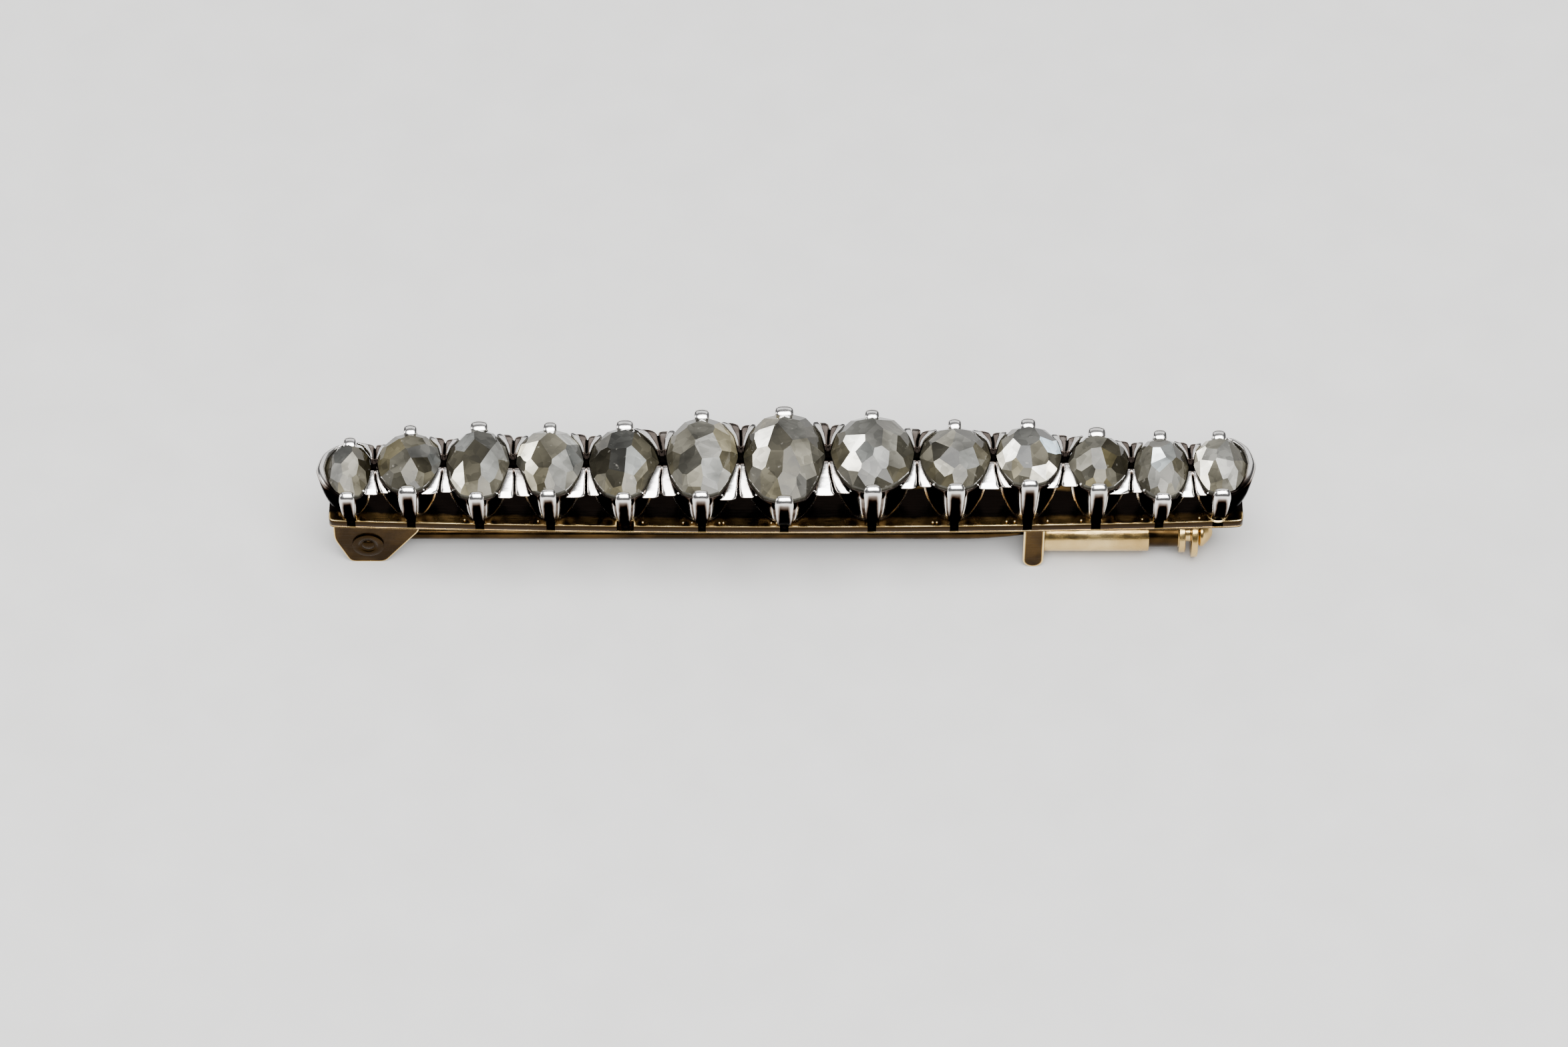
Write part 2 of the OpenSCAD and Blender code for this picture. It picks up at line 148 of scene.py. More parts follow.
def sawn_sheet(outline, low, high, put, wear, top_dull=FACE_DULL):
    """Sheet metal sawn to an outline, with its edges worn round. put turns (u, v, height) into a point."""
    levels = [(low + rise * wear, inset, dull) for rise, inset, dull in WORN_EDGE]
    levels += [(high - rise * wear, inset, dull) for rise, inset, dull in WORN_EDGE[:0:-1]]
    levels.append((high, WORN_EDGE[0][1], top_dull))
    rings = [[put(u, v, height) for u, v in drawn_in(outline, inset * wear)] for height, inset, _ in levels]
    points, faces = loft(rings)
    return points, faces, [dull for _, _, dull in levels for _ in outline]


def laid_out(name, data):
    """A new object in the scene, from a mesh, a lamp or a camera."""
    thing = bpy.data.objects.new(name, data)
    bpy.context.scene.collection.objects.link(thing)
    return thing


def fitted(name, mesh, material, node, body):
    """A finished mesh as a piece that stands for its node and rides on its body."""
    mesh.materials.append(material)
    piece = laid_out(name, mesh)
    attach(piece, body)
    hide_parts(node)


def add_piece(name, parts, material, node, body="brooch", sharp=35):
    """One piece from parts, each of points in millimetres and faces. A part may carry its points' tarnish and
    painted shade.
    """
    points, faces, tarnish_and_shade = [], [], []
    for part in parts:
        start = len(points)
        points += part[0]
        faces += [[start + k for k in face] for face in part[1]]
        tarnish_and_shade += part[2] if len(part) > 2 else [0.0] * len(part[0])
    mesh = bpy.data.meshes.new(name)
    mesh.from_pydata([[c * MM for c in point] for point in points], [], faces)
    mesh.attributes.new("tarnish_and_shade", "FLOAT", "POINT").data.foreach_set("value", tarnish_and_shade)
    form = bmesh.new()
    form.from_mesh(mesh)
    bmesh.ops.remove_doubles(form, verts=form.verts, dist=1e-8)
    bmesh.ops.recalc_face_normals(form, faces=form.faces)
    form.to_mesh(mesh)
    form.free()
    mesh.shade_smooth()
    mesh.set_sharp_from_angle(angle=math.radians(sharp))
    fitted(name, mesh, material, node, body)


class Finish:
    """The finish of a metal or a stone while it is worked up: its material, its nodes and its shader."""

    def __init__(self, name):
        self.material = bpy.data.materials.new(name)
        self.material.use_nodes = True
        self.nodes = self.material.node_tree.nodes

    def feed(self, socket, source):
        """Gives a socket a plain number or colour, or joins another node's result to it."""
        if isinstance(source, bpy.types.NodeSocket):
            self.material.node_tree.links.new(source, socket)
        else:
            socket.default_value = source

    def surface(self, sources):
        """Feeds the shader's sockets by their names."""
        for name, source in sources.items():
            self.feed(self.nodes["Principled BSDF"].inputs[name], source)

    def where(self):
        """The place in the piece's own space, in metres."""
        return self.nodes.new("ShaderNodeTexCoord").outputs["Object"]

    def carried(self, name):
        """What the mesh carries under a name."""
        mark = self.nodes.new("ShaderNodeAttribute")
        mark.attribute_name = name
        return mark

    def noise(self, scale, detail, stretch=(1, 1, 1)):
        """A noise in the piece's own space, with its scale in waves to the millimetre."""
        turn = self.nodes.new("ShaderNodeMapping")
        self.feed(turn.inputs["Scale"], [share / MM for share in stretch])
        self.feed(turn.inputs["Vector"], self.where())
        cloud = self.nodes.new("ShaderNodeTexNoise")
        self.feed(cloud.inputs["Scale"], scale)
        self.feed(cloud.inputs["Detail"], detail)
        self.feed(cloud.inputs["Vector"], turn.outputs["Vector"])
        return cloud.outputs["Fac"]

    def ramp(self, source, stops):
        """Colours or greys along a value. A stop is its place and its colour."""
        ramp = self.nodes.new("ShaderNodeValToRGB")
        band = ramp.color_ramp.elements
        band.remove(band[1])
        for k, (place, colour) in enumerate(stops):
            stop = band.new(place) if k else band[0]
            stop.position = place
            stop.color = (*colour, 1) if isinstance(colour, tuple) else (colour, colour, colour, 1)
        self.feed(ramp.inputs["Fac"], source)
        return ramp.outputs["Color"]

    def bumps(self, heights, depth):
        """One bump after another, each a height and its strength, with the depth in millimetres."""
        normal = None
        for height, strength in heights:
            bump = self.nodes.new("ShaderNodeBump")
            self.feed(bump.inputs["Distance"], depth * MM)
            self.feed(bump.inputs["Strength"], strength)
            self.feed(bump.inputs["Height"], height)
            if normal:
                self.feed(bump.inputs["Normal"], normal)
            normal = bump.outputs["Normal"]
        return normal

    def maths(self, operation, *sources):
        """One operation on numbers or other nodes' results."""
        node = self.nodes.new("ShaderNodeMath")
        node.operation = operation
        for socket, source in zip(node.inputs, sources):
            self.feed(socket, source)
        return node.outputs[0]

    def mixed(self, factor, under, over, blend="MIX"):
        """One colour laid over another."""
        mix = self.nodes.new("ShaderNodeMix")
        mix.data_type = "RGBA"
        mix.blend_type = blend
        for name, source in (("Factor", factor), ("A", under), ("B", over)):
            self.feed(mix.inputs[name], source)
        return mix.outputs["Result"]


def shade_under_cups(finish):
    """Painted shade on the plate's top, near black under the cups, up to a margin that follows the bow of
    each edge.
    """
    axes = finish.nodes.new("ShaderNodeSeparateXYZ")
    finish.feed(axes.inputs[0], finish.where())
    across = finish.maths("ABSOLUTE", axes.outputs["Y"])
    fringe = finish.maths("MULTIPLY_ADD", finish.noise(1.6, 4), SHADE_FRINGE * MM, across)
    along = finish.maths("POWER", axes.outputs["X"], 2)
    bend = (PLATE_END - PLATE_MID) / (HALF_BAR ** 2 * MM)
    bow = finish.maths("MULTIPLY_ADD", along, bend, PLATE_MID * MM)
    reach = finish.maths("SUBTRACT", bow, (SHADE_MARGIN - SHADE_FRINGE / 2) * MM)
    depth = finish.maths("SUBTRACT", reach, fringe)
    inside = finish.maths("MINIMUM", finish.maths("MULTIPLY", depth, SHADE_SHARP / MM), 1)
    inside = finish.maths("MAXIMUM", inside, 0)
    on_top = finish.maths("GREATER_THAN", axes.outputs["Z"], (PLATE_TOP - 0.02) * MM)
    return finish.maths("MULTIPLY", inside, on_top)


def old_gold():
    """Yellow gold of a low carat, handled for a century: brown in its flats and bright along its edges, the
    dark flats partly painted reflection and the bright edges partly a painted highlight.
    """
    finish = Finish("old_gold")
    gold_darkness = finish.maths("MULTIPLY_ADD", finish.noise(0.5, 4), 0.5, finish.carried("tarnish_and_shade").outputs["Fac"])
    gold_tone = finish.ramp(gold_darkness, [
        (0.22, (0.93, 0.72, 0.36)), (0.45, (0.56, 0.38, 0.14)), (0.7, (0.22, 0.13, 0.04)),
        (0.85, (0.08, 0.045, 0.014)), (1, (0.025, 0.014, 0.005))])
    dents = finish.noise(1, 2)
    scratches = finish.noise(2.4, 4, (0.3, 4, 4))
    # The plate's top under the cups is painted near black as shade.
    finish.surface({
        "Base Color": finish.mixed(shade_under_cups(finish), gold_tone, (0.006, 0.004, 0.003, 1)),
        "Metallic": 1,
        "Roughness": finish.ramp(finish.noise(1.3, 5), [(0.3, 0.14), (0.7, 0.34)]),
        "Normal": finish.bumps([(dents, 0.5), (scratches, 0.12)], 0.05)})
    return finish.material


gold = old_gold()


def slot_edge(x, wide):
    """The outline of one slot, from its left lip to its right lip."""
    edge = plate_half(x)
    square = [(x - wide / 2, edge), (x - wide / 2, edge - SLOT_DEEP), (x + wide / 2, edge - SLOT_DEEP),
              (x + wide / 2, edge)]
    return eased(square, SLOT_CORNER, closed=False, steps=3)


def plate_outline(slotted):
    """The plate from above, anticlockwise: its front edge from the left end, and then its back edge."""
    stops = [-PLATE_LONG + PLATE_CORNER] + stone_x + [PLATE_LONG - PLATE_CORNER]
    edge = []
    for k in range(len(stops) - 1):
        spread = stops[k + 1] - stops[k]
        for share in (0.3, 0.5, 0.7):
            x = stops[k] + share * spread
            edge.append((x, plate_half(x)))
        if slotted and k < len(stone_x):
            edge += slot_edge(stone_x[k], SLOT_WIDE[k])
    end = plate_half(PLATE_LONG)
    corner = eased([(PLATE_LONG, 0), (PLATE_LONG, end), (0, end)], PLATE_CORNER, closed=False)[1:-1]
    front = [(-x, -y) for x, y in corner] + [(x, -y) for x, y in edge] + [(x, -y) for x, y in corner[::-1]]
    return front + [(x, -y) for x, y in front[::-1]]


def lying(u, v, height):
    return (u, v, height)


plate = sawn_sheet(plate_outline(True), LINER_TOP - SHEET_LAP, PLATE_TOP, lying, EDGE_WEAR, TOP_DULL)
liner = sawn_sheet(plate_outline(False), PLATE_UNDER, LINER_TOP, lying, LINER_WEAR)
add_piece("gold_plate", [plate, liner], gold, "gold_back")


# Hinge cheeks
# Two gold plates soldered under the left end, with a round boss on each for the pin's rivet. They are sawn to
# one pattern, slanting inward, and filed round at their lower corners.
rivet_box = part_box("hinge_rivet")
HINGE_X = (rivet_box[0].x + rivet_box[1].x) / 2 / MM
HINGE_Z = (rivet_box[0].z + rivet_box[1].z) / 2 / MM
SOLDER_LAP = 0.02
BOSS_FACE = rivet_box[1].y / MM
BOSS_T = 0.1
BOSS_R = 0.75
BOSS_BORE = 0.27
BOSS_DISH = 0.06
CHEEK_IN = 0.43
CHEEK_OUT = BOSS_FACE - BOSS_T
BOSS_IN = CHEEK_IN + 0.05
CHEEK_CORNER = 0.28
# How far along from the hinge, and the share of the height under the plate.
CHEEK_OUTLINE = [(-0.9, 0), (0.75, 0), (2.475, 0.8), (2.475, 1), (-1.59, 1), (-1.59, 0.58)]
# Tarnish of the turned gold, with painted dark reflection on it.
TURNED_DULL = 0.72


def turned(profile, put, sides=48, tube=False):
    """Metal turned round an axis: the profile holds (along, radius). A tube's profile closes on itself."""
    turns = [(math.cos(math.tau * k / sides), math.sin(math.tau * k / sides)) for k in range(sides)]
    rings = [[put(along, radius * c, radius * s) for c, s in turns] for along, radius in profile]
    points, faces = loft(rings, capped=not tube, closed=tube)
    return points, faces, [TURNED_DULL] * len(points)


def across_hinge(along, u, v):
    return (HINGE_X + u, along, HINGE_Z + v)


def upright(side):
    """Stands a sheet on edge along the bar, in front of its middle (-1) or behind it (1)."""
    return lambda u, v, height: (u, side * height, v)


cheek = eased([(HINGE_X + u, v * (PLATE_UNDER + SOLDER_LAP)) for u, v in CHEEK_OUTLINE], CHEEK_CORNER)
boss = eased([(BOSS_IN, BOSS_BORE), (BOSS_IN, BOSS_R - 0.1), (CHEEK_OUT - 0.02, BOSS_R - 0.02),
              (BOSS_FACE, BOSS_R), (BOSS_FACE, BOSS_R * 0.62), (BOSS_FACE - BOSS_DISH, BOSS_R * 0.52),
              (BOSS_FACE - BOSS_DISH, BOSS_BORE)], 0.04, steps=2)
hinge_parts = []
for side in (-1, 1):
    hinge_parts.append(sawn_sheet(cheek, CHEEK_IN, CHEEK_OUT, upright(side), EDGE_WEAR))
    hinge_parts.append(turned(boss, lambda along, u, v: across_hinge(side * along, u, v), tube=True))
add_piece("hinge_cheeks", hinge_parts, gold, "gold_back")


# Hinge rivet
# A short gold wire through both bosses and the pin's knuckle. Its ends are spread with a hammer into two low
# round heads, which keep the pin in its hinge.
RIVET_R = rivet_box[1].z / MM - HINGE_Z
HEAD_R = RIVET_R * 1.22
rivet = [(-BOSS_FACE - 0.03, 0.02), (-BOSS_FACE - 0.02, HEAD_R * 0.5), (-BOSS_FACE + 0.02, HEAD_R * 0.9),
         (-BOSS_FACE + 0.055, HEAD_R), (-BOSS_FACE + 0.07, RIVET_R)]
rivet += [(-along, radius) for along, radius in rivet[::-1]]
add_piece("rivet_heads", [turned(rivet, across_hinge, 32)], gold, "hinge_rivet")


# Pin
# Hard gold wire soldered into a knuckle that turns on the rivet. Its root is filed down to the wire, and its
# end is ground to a long point.
pin_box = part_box("pin")
PIN_R = 0.36
KNUCKLE_R = pin_box[1].z / MM - HINGE_Z
KNUCKLE_HALF = pin_box[1].y / MM
KNUCKLE_BORE = RIVET_R + 0.03
PIN_LONG = pin_box[1].x / MM - HINGE_X
ROOT_LONG = 2.6
POINT_LONG = 3.4
# Shares of the point's length and of the wire's radius.
POINT_SHAPE = [(0, 1), (0.3, 0.9), (0.6, 0.66), (0.85, 0.36), (0.96, 0.16), (1, 0.04)]


def along_bar(start):
    return lambda along, u, v: (start + along, u, HINGE_Z + v)


knuckle = eased([(-KNUCKLE_HALF, KNUCKLE_BORE), (-KNUCKLE_HALF, KNUCKLE_R), (KNUCKLE_HALF, KNUCKLE_R),
                 (KNUCKLE_HALF, KNUCKLE_BORE)], 0.06, steps=2)
wire = [(KNUCKLE_R - 0.25, 0.3), (KNUCKLE_R - 0.08, 0.385), (ROOT_LONG * 0.5, 0.378), (ROOT_LONG, PIN_R)]
wire += [(PIN_LONG - POINT_LONG * (1 - along), PIN_R * thick) for along, thick in POINT_SHAPE]
add_piece("pin_wire", [turned(knuckle, across_hinge, tube=True), turned(wire, along_bar(HINGE_X), 32)],
          gold, "pin", "swing_pin")


# Catch barrel
# A gold tube that guides the slide, hung from the plate by a keel. Two tongues beside its mouth steer the
# pin's point into it. All are soldered to the plate's underside.
slide_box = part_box("catch_slide")
SLIDE_X = slide_box[0].x / MM
BARREL_X = SLIDE_X - 0.3
BARREL_LONG = 5
BARREL_R = 0.92
BORE_R = 0.79
BARREL_RIM = 0.07
RIM_RUBBED = 0.15
TONGUE_W = 1
TONGUE_T = 0.28
TONGUE_Y = 0.83
TONGUE_WEAR = 0.06
TONGUE_X = BARREL_X - TONGUE_W + 0.05
KEEL_HALF = 0.37
KEEL_END = BARREL_X + BARREL_LONG - 0.1
KEEL_WEAR = 0.03
barrel = eased([(0, BORE_R), (0, BARREL_R), (BARREL_LONG, BARREL_R), (BARREL_LONG, BORE_R)], 0.06, steps=2)
points, faces, _ = turned(barrel, along_bar(BARREL_X), 64, tube=True)
rubbed = [TURNED_DULL if BARREL_RIM < x - BARREL_X < BARREL_LONG - BARREL_RIM else RIM_RUBBED
          for x, _, _ in points]
keel = eased([(BARREL_X, -KEEL_HALF), (KEEL_END, -KEEL_HALF), (KEEL_END, KEEL_HALF),
              (BARREL_X, KEEL_HALF)], 0.12)
catch_parts = [(points, faces, rubbed),
               sawn_sheet(keel, HINGE_Z + BORE_R + 0.05, PLATE_UNDER + SOLDER_LAP, lying, KEEL_WEAR)]
tongue = [(TONGUE_X, PLATE_UNDER + SOLDER_LAP), (TONGUE_X, 0.5 * TONGUE_W)]
tongue += [(TONGUE_X + TONGUE_W / 2 * (1 - math.cos(math.pi * k / 12)),
            TONGUE_W / 2 * (1 - math.sin(math.pi * k / 12))) for k in range(1, 12)]
tongue += [(TONGUE_X + TONGUE_W, 0.5 * TONGUE_W), (TONGUE_X + TONGUE_W, PLATE_UNDER + SOLDER_LAP)]
for side in (-1, 1):
    catch_parts.append(sawn_sheet(tongue, TONGUE_Y, TONGUE_Y + TONGUE_T, upright(side), TONGUE_WEAR))
add_piece("catch_barrel", catch_parts, gold, "gold_back")


# Catch slide
# The inner tube of the catch, turned in one piece with its two flanges and round tip. It is drawn out here,
# so that the pin is free.
SLIDE_R = BORE_R - 0.04
SLIDE_BORE = 0.48
SLIDE_LONG = slide_box[1].x / MM - SLIDE_X
KNOB_R = slide_box[1].z / MM - HINGE_Z
KNOB_RUBBED = 0.2
FLANGE_R = KNOB_R * 0.82
NECK_R = 0.465
TUBE_LONG = SLIDE_LONG - 1.63
# How far past the tube's end, and the radius.
KNOB_SHAPE = [(0, FLANGE_R), (0.3, FLANGE_R), (0.3, NECK_R), (0.58, NECK_R), (0.58, KNOB_R), (0.88, KNOB_R),
              (0.88, NECK_R), (1.0, SLIDE_R * 0.93), (1.14, SLIDE_R * 0.95), (1.42, SLIDE_R * 0.6)]
slide = [(TUBE_LONG, 0.02), (TUBE_LONG, SLIDE_BORE), (0, SLIDE_BORE), (0, SLIDE_R), (TUBE_LONG, SLIDE_R)]
slide += [(TUBE_LONG + past, radius) for past, radius in KNOB_SHAPE]
slide += [(SLIDE_LONG - 0.04, SLIDE_R * 0.28), (SLIDE_LONG, 0.02)]
points, faces, _ = turned(eased(slide, 0.045, closed=False, steps=3), along_bar(SLIDE_X), 64)
rubbed = [KNOB_RUBBED if x > SLIDE_X + TUBE_LONG - 0.03 else TURNED_DULL for x, _, _ in points]
add_piece("slide_tube", [(points, faces, rubbed)], gold, "catch_slide", "slide")


# Silver cups
# Each stone has a bowl-shaped collet of silver standing on the plate. Its wall is cut down from outside in
# deep scallops, which leave a post under each claw and thin ribs between. The hollows are black with age and
# with painted shade and painted reflection, and the ribs carry a painted highlight.
FOOT_SHARE = 0.6
FOOT_INSET = 0.3
BOWL_FLARE = 1.9
CUP_WALL = 0.22
RIM_WALL = 0.09
RIM_DROP = 0.2
SEAT_LEDGE = 0.42
CUP_TURNS = 144
CUP_RINGS = 24
# A scallop runs from each of these turns from the post to the next one, with a rib between.
SCALLOPS = [15, 65, 115]
RIB_HALF = 2.5
SCALLOP_DEEP = 0.26
SCALLOP_FOOT = 0.06
SCALLOP_ROUND = 0.34
# Each stone's turn in its seat, in degrees. Its cut has a corner at every edge step.
STONE_TURN = [12, 5, 20, 0, 28, 8, 15, 3, 22, 10, 25, 6, 18]
EDGE_STEP = 30
EDGE_SINE = 0.5
GIRDLE_T = 0.22
# How far each stone's uneven edge reaches at every edge step, anticlockwise from its right end.
STONE_EDGES = [
    [0.95, 0.98, 1.00, 0.96, 0.98, 1.00, 1.00, 0.92, 0.94, 1.00, 1.03, 0.97],
    [1.00, 1.00, 0.99, 1.00, 0.98, 0.98, 1.00, 1.00, 1.00, 1.00, 0.98, 0.95],
    [1.00, 0.97, 0.96, 1.00, 0.91, 0.96, 1.00, 0.98, 1.02, 0.98, 1.02, 0.95],
    [1.00, 0.98, 1.01, 0.98, 1.01, 0.97, 0.97, 0.82, 0.95, 1.00, 1.00, 0.97],
    [1.00, 0.89, 0.90, 0.97, 0.98, 0.98, 1.00, 0.97, 1.00, 1.00, 0.95, 0.86],
    [1.00, 1.00, 1.00, 1.00, 0.98, 0.97, 0.96, 0.95, 1.00, 0.98, 1.00, 0.94],
    [1.00, 1.00, 1.03, 0.97, 1.00, 0.98, 1.00, 1.00, 1.02, 1.00, 1.02, 0.95],
    [1.00, 0.97, 1.04, 0.95, 1.00, 0.97, 1.00, 0.97, 1.00, 1.00, 0.97, 1.00],
    [1.00, 1.00, 0.98, 1.00, 0.97, 0.98, 1.00, 0.98, 1.00, 1.00, 1.00, 0.95],
    [1.00, 1.00, 1.00, 0.98, 1.00, 0.97, 1.00, 0.98, 1.00, 0.96, 0.98, 0.97],
    [1.00, 0.97, 0.97, 0.98, 0.95, 0.86, 0.98, 0.92, 0.97, 0.98, 1.00, 1.00],
    [1.00, 0.97, 0.97, 1.00, 0.97, 0.96, 1.00, 0.98, 0.96, 1.00, 1.00, 0.96],
    [1.00, 1.00, 0.97, 0.97, 0.98, 1.00, 1.00, 0.95, 1.00, 1.00, 1.00, 0.97],
]


class Seat:
    """Where a stone lies, from its node's box: the middle, the half sizes and the levels, in millimetres."""

    def __init__(self, k):
        low, high = [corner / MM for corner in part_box(STONE_NODES[k])]
        from_corner = min(STONE_TURN[k] % EDGE_STEP, EDGE_STEP - STONE_TURN[k] % EDGE_STEP)
        reach = math.cos(math.radians(from_corner))
        self.x = (low.x + high.x) / 2
        self.y = (low.y + high.y) / 2
        self.half_w = (high.x - low.x) / 2 / reach
        self.half_l = (high.y - low.y) / 2 / reach
        self.back = low.z
        self.rim = low.z + GIRDLE_T
        self.peak = high.z
        self.edge = STONE_EDGES[k]

    def reach(self, turn):
        """How far the stone's edge reaches there: halfway between a straight side and a round one."""
        at = turn % 360 / EDGE_STEP
        first, part = int(at), at % 1
        a, b = self.edge[first], self.edge[(first + 1) % len(self.edge)]
        ahead, behind = math.radians(EDGE_STEP * part), math.radians(EDGE_STEP * (1 - part))
        straight = a * b * EDGE_SINE / (a * math.sin(ahead) + b * math.sin(behind))
        return (straight + a + (b - a) * part) / 2

    def side_at(self, y, side):
        """The x of the stone's left (-1) or right (1) edge at a place across the bar."""
        share = max(-0.97, min(0.97, (y - self.y) / self.half_l))
        low, high = -90.0, 90.0
        for _ in range(12):
            turn = (low + high) / 2
            compass = turn if side > 0 else 180 - turn
            if self.reach(compass) * math.sin(math.radians(turn)) < share:
                low = turn
            else:
                high = turn
        return self.x + side * self.half_w * self.reach(compass) * math.cos(math.radians(turn))


seats = [Seat(k) for k in range(len(STONE_NODES))]


def smooth(low, high, value):
    """From 0 at low to 1 at high, easing in and out."""
    t = min(1, max(0, (value - low) / (high - low)))
    return t * t * (3 - 2 * t)


def cup_point(seat, turn, share, out=0.0, lift=0.0):
    """A point on a cup's wall: turn round the stone in degrees, share of the height, and how far outside."""
    wide = 1 - (1 - share) ** BOWL_FLARE
    reach = seat.reach(turn)
    foot_l = plate_half(seat.x) - FOOT_INSET
    rx = FOOT_SHARE * seat.half_w * (1 - wide) + (seat.half_w * reach + RIM_WALL) * wide + out
    ry = foot_l * (1 - wide) + (seat.half_l * reach + RIM_WALL) * wide + out
    angle = math.radians(turn)
    z = PLATE_TOP + share * (seat.rim - RIM_DROP - PLATE_TOP) + lift
    return (seat.x + rx * math.cos(angle), seat.y * wide + ry * math.sin(angle), z)


def scallop_at(turn):
    """The turn from the nearest post, and those at which the scallop there begins and ends."""
    from_post = abs((turn + 180) % 180 - 90)
    first, last = next(pair for pair in zip(SCALLOPS, SCALLOPS[1:]) if from_post < pair[1])
    return from_post, first, last


def scallop(turn, share):
    """How deep the wall is cut there, from 0 to 1. A scallop is round at its lower end."""
    from_post, first, last = scallop_at(turn)
    middle, half = (first + last) / 2, (last - first) / 2 - RIB_HALF
    below = max(0, 1 - (share - SCALLOP_FOOT) / SCALLOP_ROUND)
    cut = max(0, 1 - ((from_post - middle) / half) ** 2 - below ** 2) ** 0.9
    return cut * (1 - smooth(0.86, 0.99, share))


def cup_patina_and_shade(turn, share):
    """Light along the ribs and round the scallops' lower ends, brown beside a post and black in the rest, and
    darker at
    the foot and under the rim: patina in the hollows with painted shade, the brown a painted reflection and
    the light ribs a painted highlight.
    """
    from_post, first, last = scallop_at(turn)
    rib = 0.5 if from_post < SCALLOPS[0] + RIB_HALF else 0
    hollow = 0.66 + 0.34 * smooth(0.2, 0.5, (from_post - first) / (last - first))
    cut = smooth(0.02, 0.5, scallop(turn, share))
    ends = 0.3 * (1 - smooth(0.0, 0.05, share)) + 0.6 * smooth(0.82, 0.95, share)
    return min(1, rib + (hollow - rib) * cut + ends)


def cup_part(seat):
    turns = [360 * k / CUP_TURNS for k in range(CUP_TURNS)]
    rings, tarnish_and_shade = [], []
    for j in range(CUP_RINGS + 1):
        share = j / CUP_RINGS
        rings.append([cup_point(seat, turn, share, -SCALLOP_DEEP * scallop(turn, share)) for turn in turns])
        tarnish_and_shade += [cup_patina_and_shade(turn, share) for turn in turns]
    rim, ledge = seat.rim - RIM_DROP, seat.back - 0.02
    # over the rim and down to the ledge under the stone: how far outside, the height and the tarnish, dark
    # under the stone as painted shade
    for out, z, dark in ((-0.02, rim + 0.03, 0.55), (-0.05, rim + 0.035, 0.6), (-RIM_WALL + 0.02, rim, 0.9),
                         (-RIM_WALL + 0.02, ledge, 1), (-SEAT_LEDGE, ledge, 1)):
        rings.append([cup_point(seat, turn, 1, out)[:2] + (z,) for turn in turns])
        tarnish_and_shade += [dark] * CUP_TURNS
    # the inside wall, painted black as shade under the stone
    rings.append([cup_point(seat, turn, 0.02, -CUP_WALL) for turn in turns])
    tarnish_and_shade += [1.0] * CUP_TURNS
    points, faces = loft(rings, closed=True)
    return points, faces, tarnish_and_shade


def old_silver():
    """Silver rubbed white where it is touched and left brown to black in its hollows, with painted shade,
    reflection and highlight carried in the same mark.
    """
    finish = Finish("old_silver")
    blend = finish.maths("MULTIPLY_ADD", finish.noise(1.1, 4), 0.4, finish.carried("tarnish_and_shade").outputs["Fac"])
    dents = finish.noise(1.8, 2)
    scratches = finish.noise(3.2, 4, (1, 1, 3))
    finish.surface({
        "Base Color": finish.ramp(blend, [
            (0.22, (0.95, 0.93, 0.90)), (0.42, (0.72, 0.68, 0.64)), (0.62, (0.24, 0.20, 0.175)),
            (0.85, (0.03, 0.021, 0.016)), (1, (0.004, 0.003, 0.0025))]),
        "Metallic": 1,
        "Roughness": finish.ramp(blend, [(0.2, 0.18), (0.6, 0.22), (1, 0.2)]),
        "Specular Tint": finish.ramp(blend, [(0.4, 0.9), (0.8, 0.04)]),
        "Normal": finish.bumps([(dents, 0.4), (scratches, 0.1)], 0.03)})
    return finish.material


silver = old_silver()
add_piece("silver_cups", [cup_part(seat) for seat in seats], silver, "silver_setting")


# Claws
# A claw is soldered up the front and the back of each cup, from its foot in the plate's slot. Its post is
# filed to a flat between two ridges, and its end is pressed over the stone's edge as a wide round bead.
CLAW_STEPS = 5
CLAW_SIDES = 20
FOOT_IN = 0.24
FOOT_WIDEST = 0.44
FOOT_CLEAR = 0.08
# Widths of the claws' ends in front and behind, as each stone's setter left them.
FRONT_CLAWS = [0.72, 0.84, 0.72, 0.76, 0.74, 0.80, 0.86, 0.84, 0.84, 0.80, 0.80, 0.78, 0.80]
BACK_CLAWS = [0.62, 0.66, 0.84, 0.66, 0.84, 0.74, 0.90, 0.70, 0.66, 0.74, 0.84, 0.66, 0.68]


def curve_through(stops, steps):
    """Rows of numbers run smoothly through the stops."""
    rows = []
    for k in range(len(stops) - 1):
        before, here = stops[max(k - 1, 0)], stops[k]
        there, beyond = stops[k + 1], stops[min(k + 2, len(stops) - 1)]
        for j in range(steps):
            t = j / steps
            rows.append([0.5 * (2 * b + (c - a) * t + (2 * a - 5 * b + 4 * c - d) * t * t
                                + (3 * b - a - 3 * c + d) * t ** 3)
                         for a, b, c, d in zip(before, here, there, beyond)])
    return rows + [list(stops[-1])]


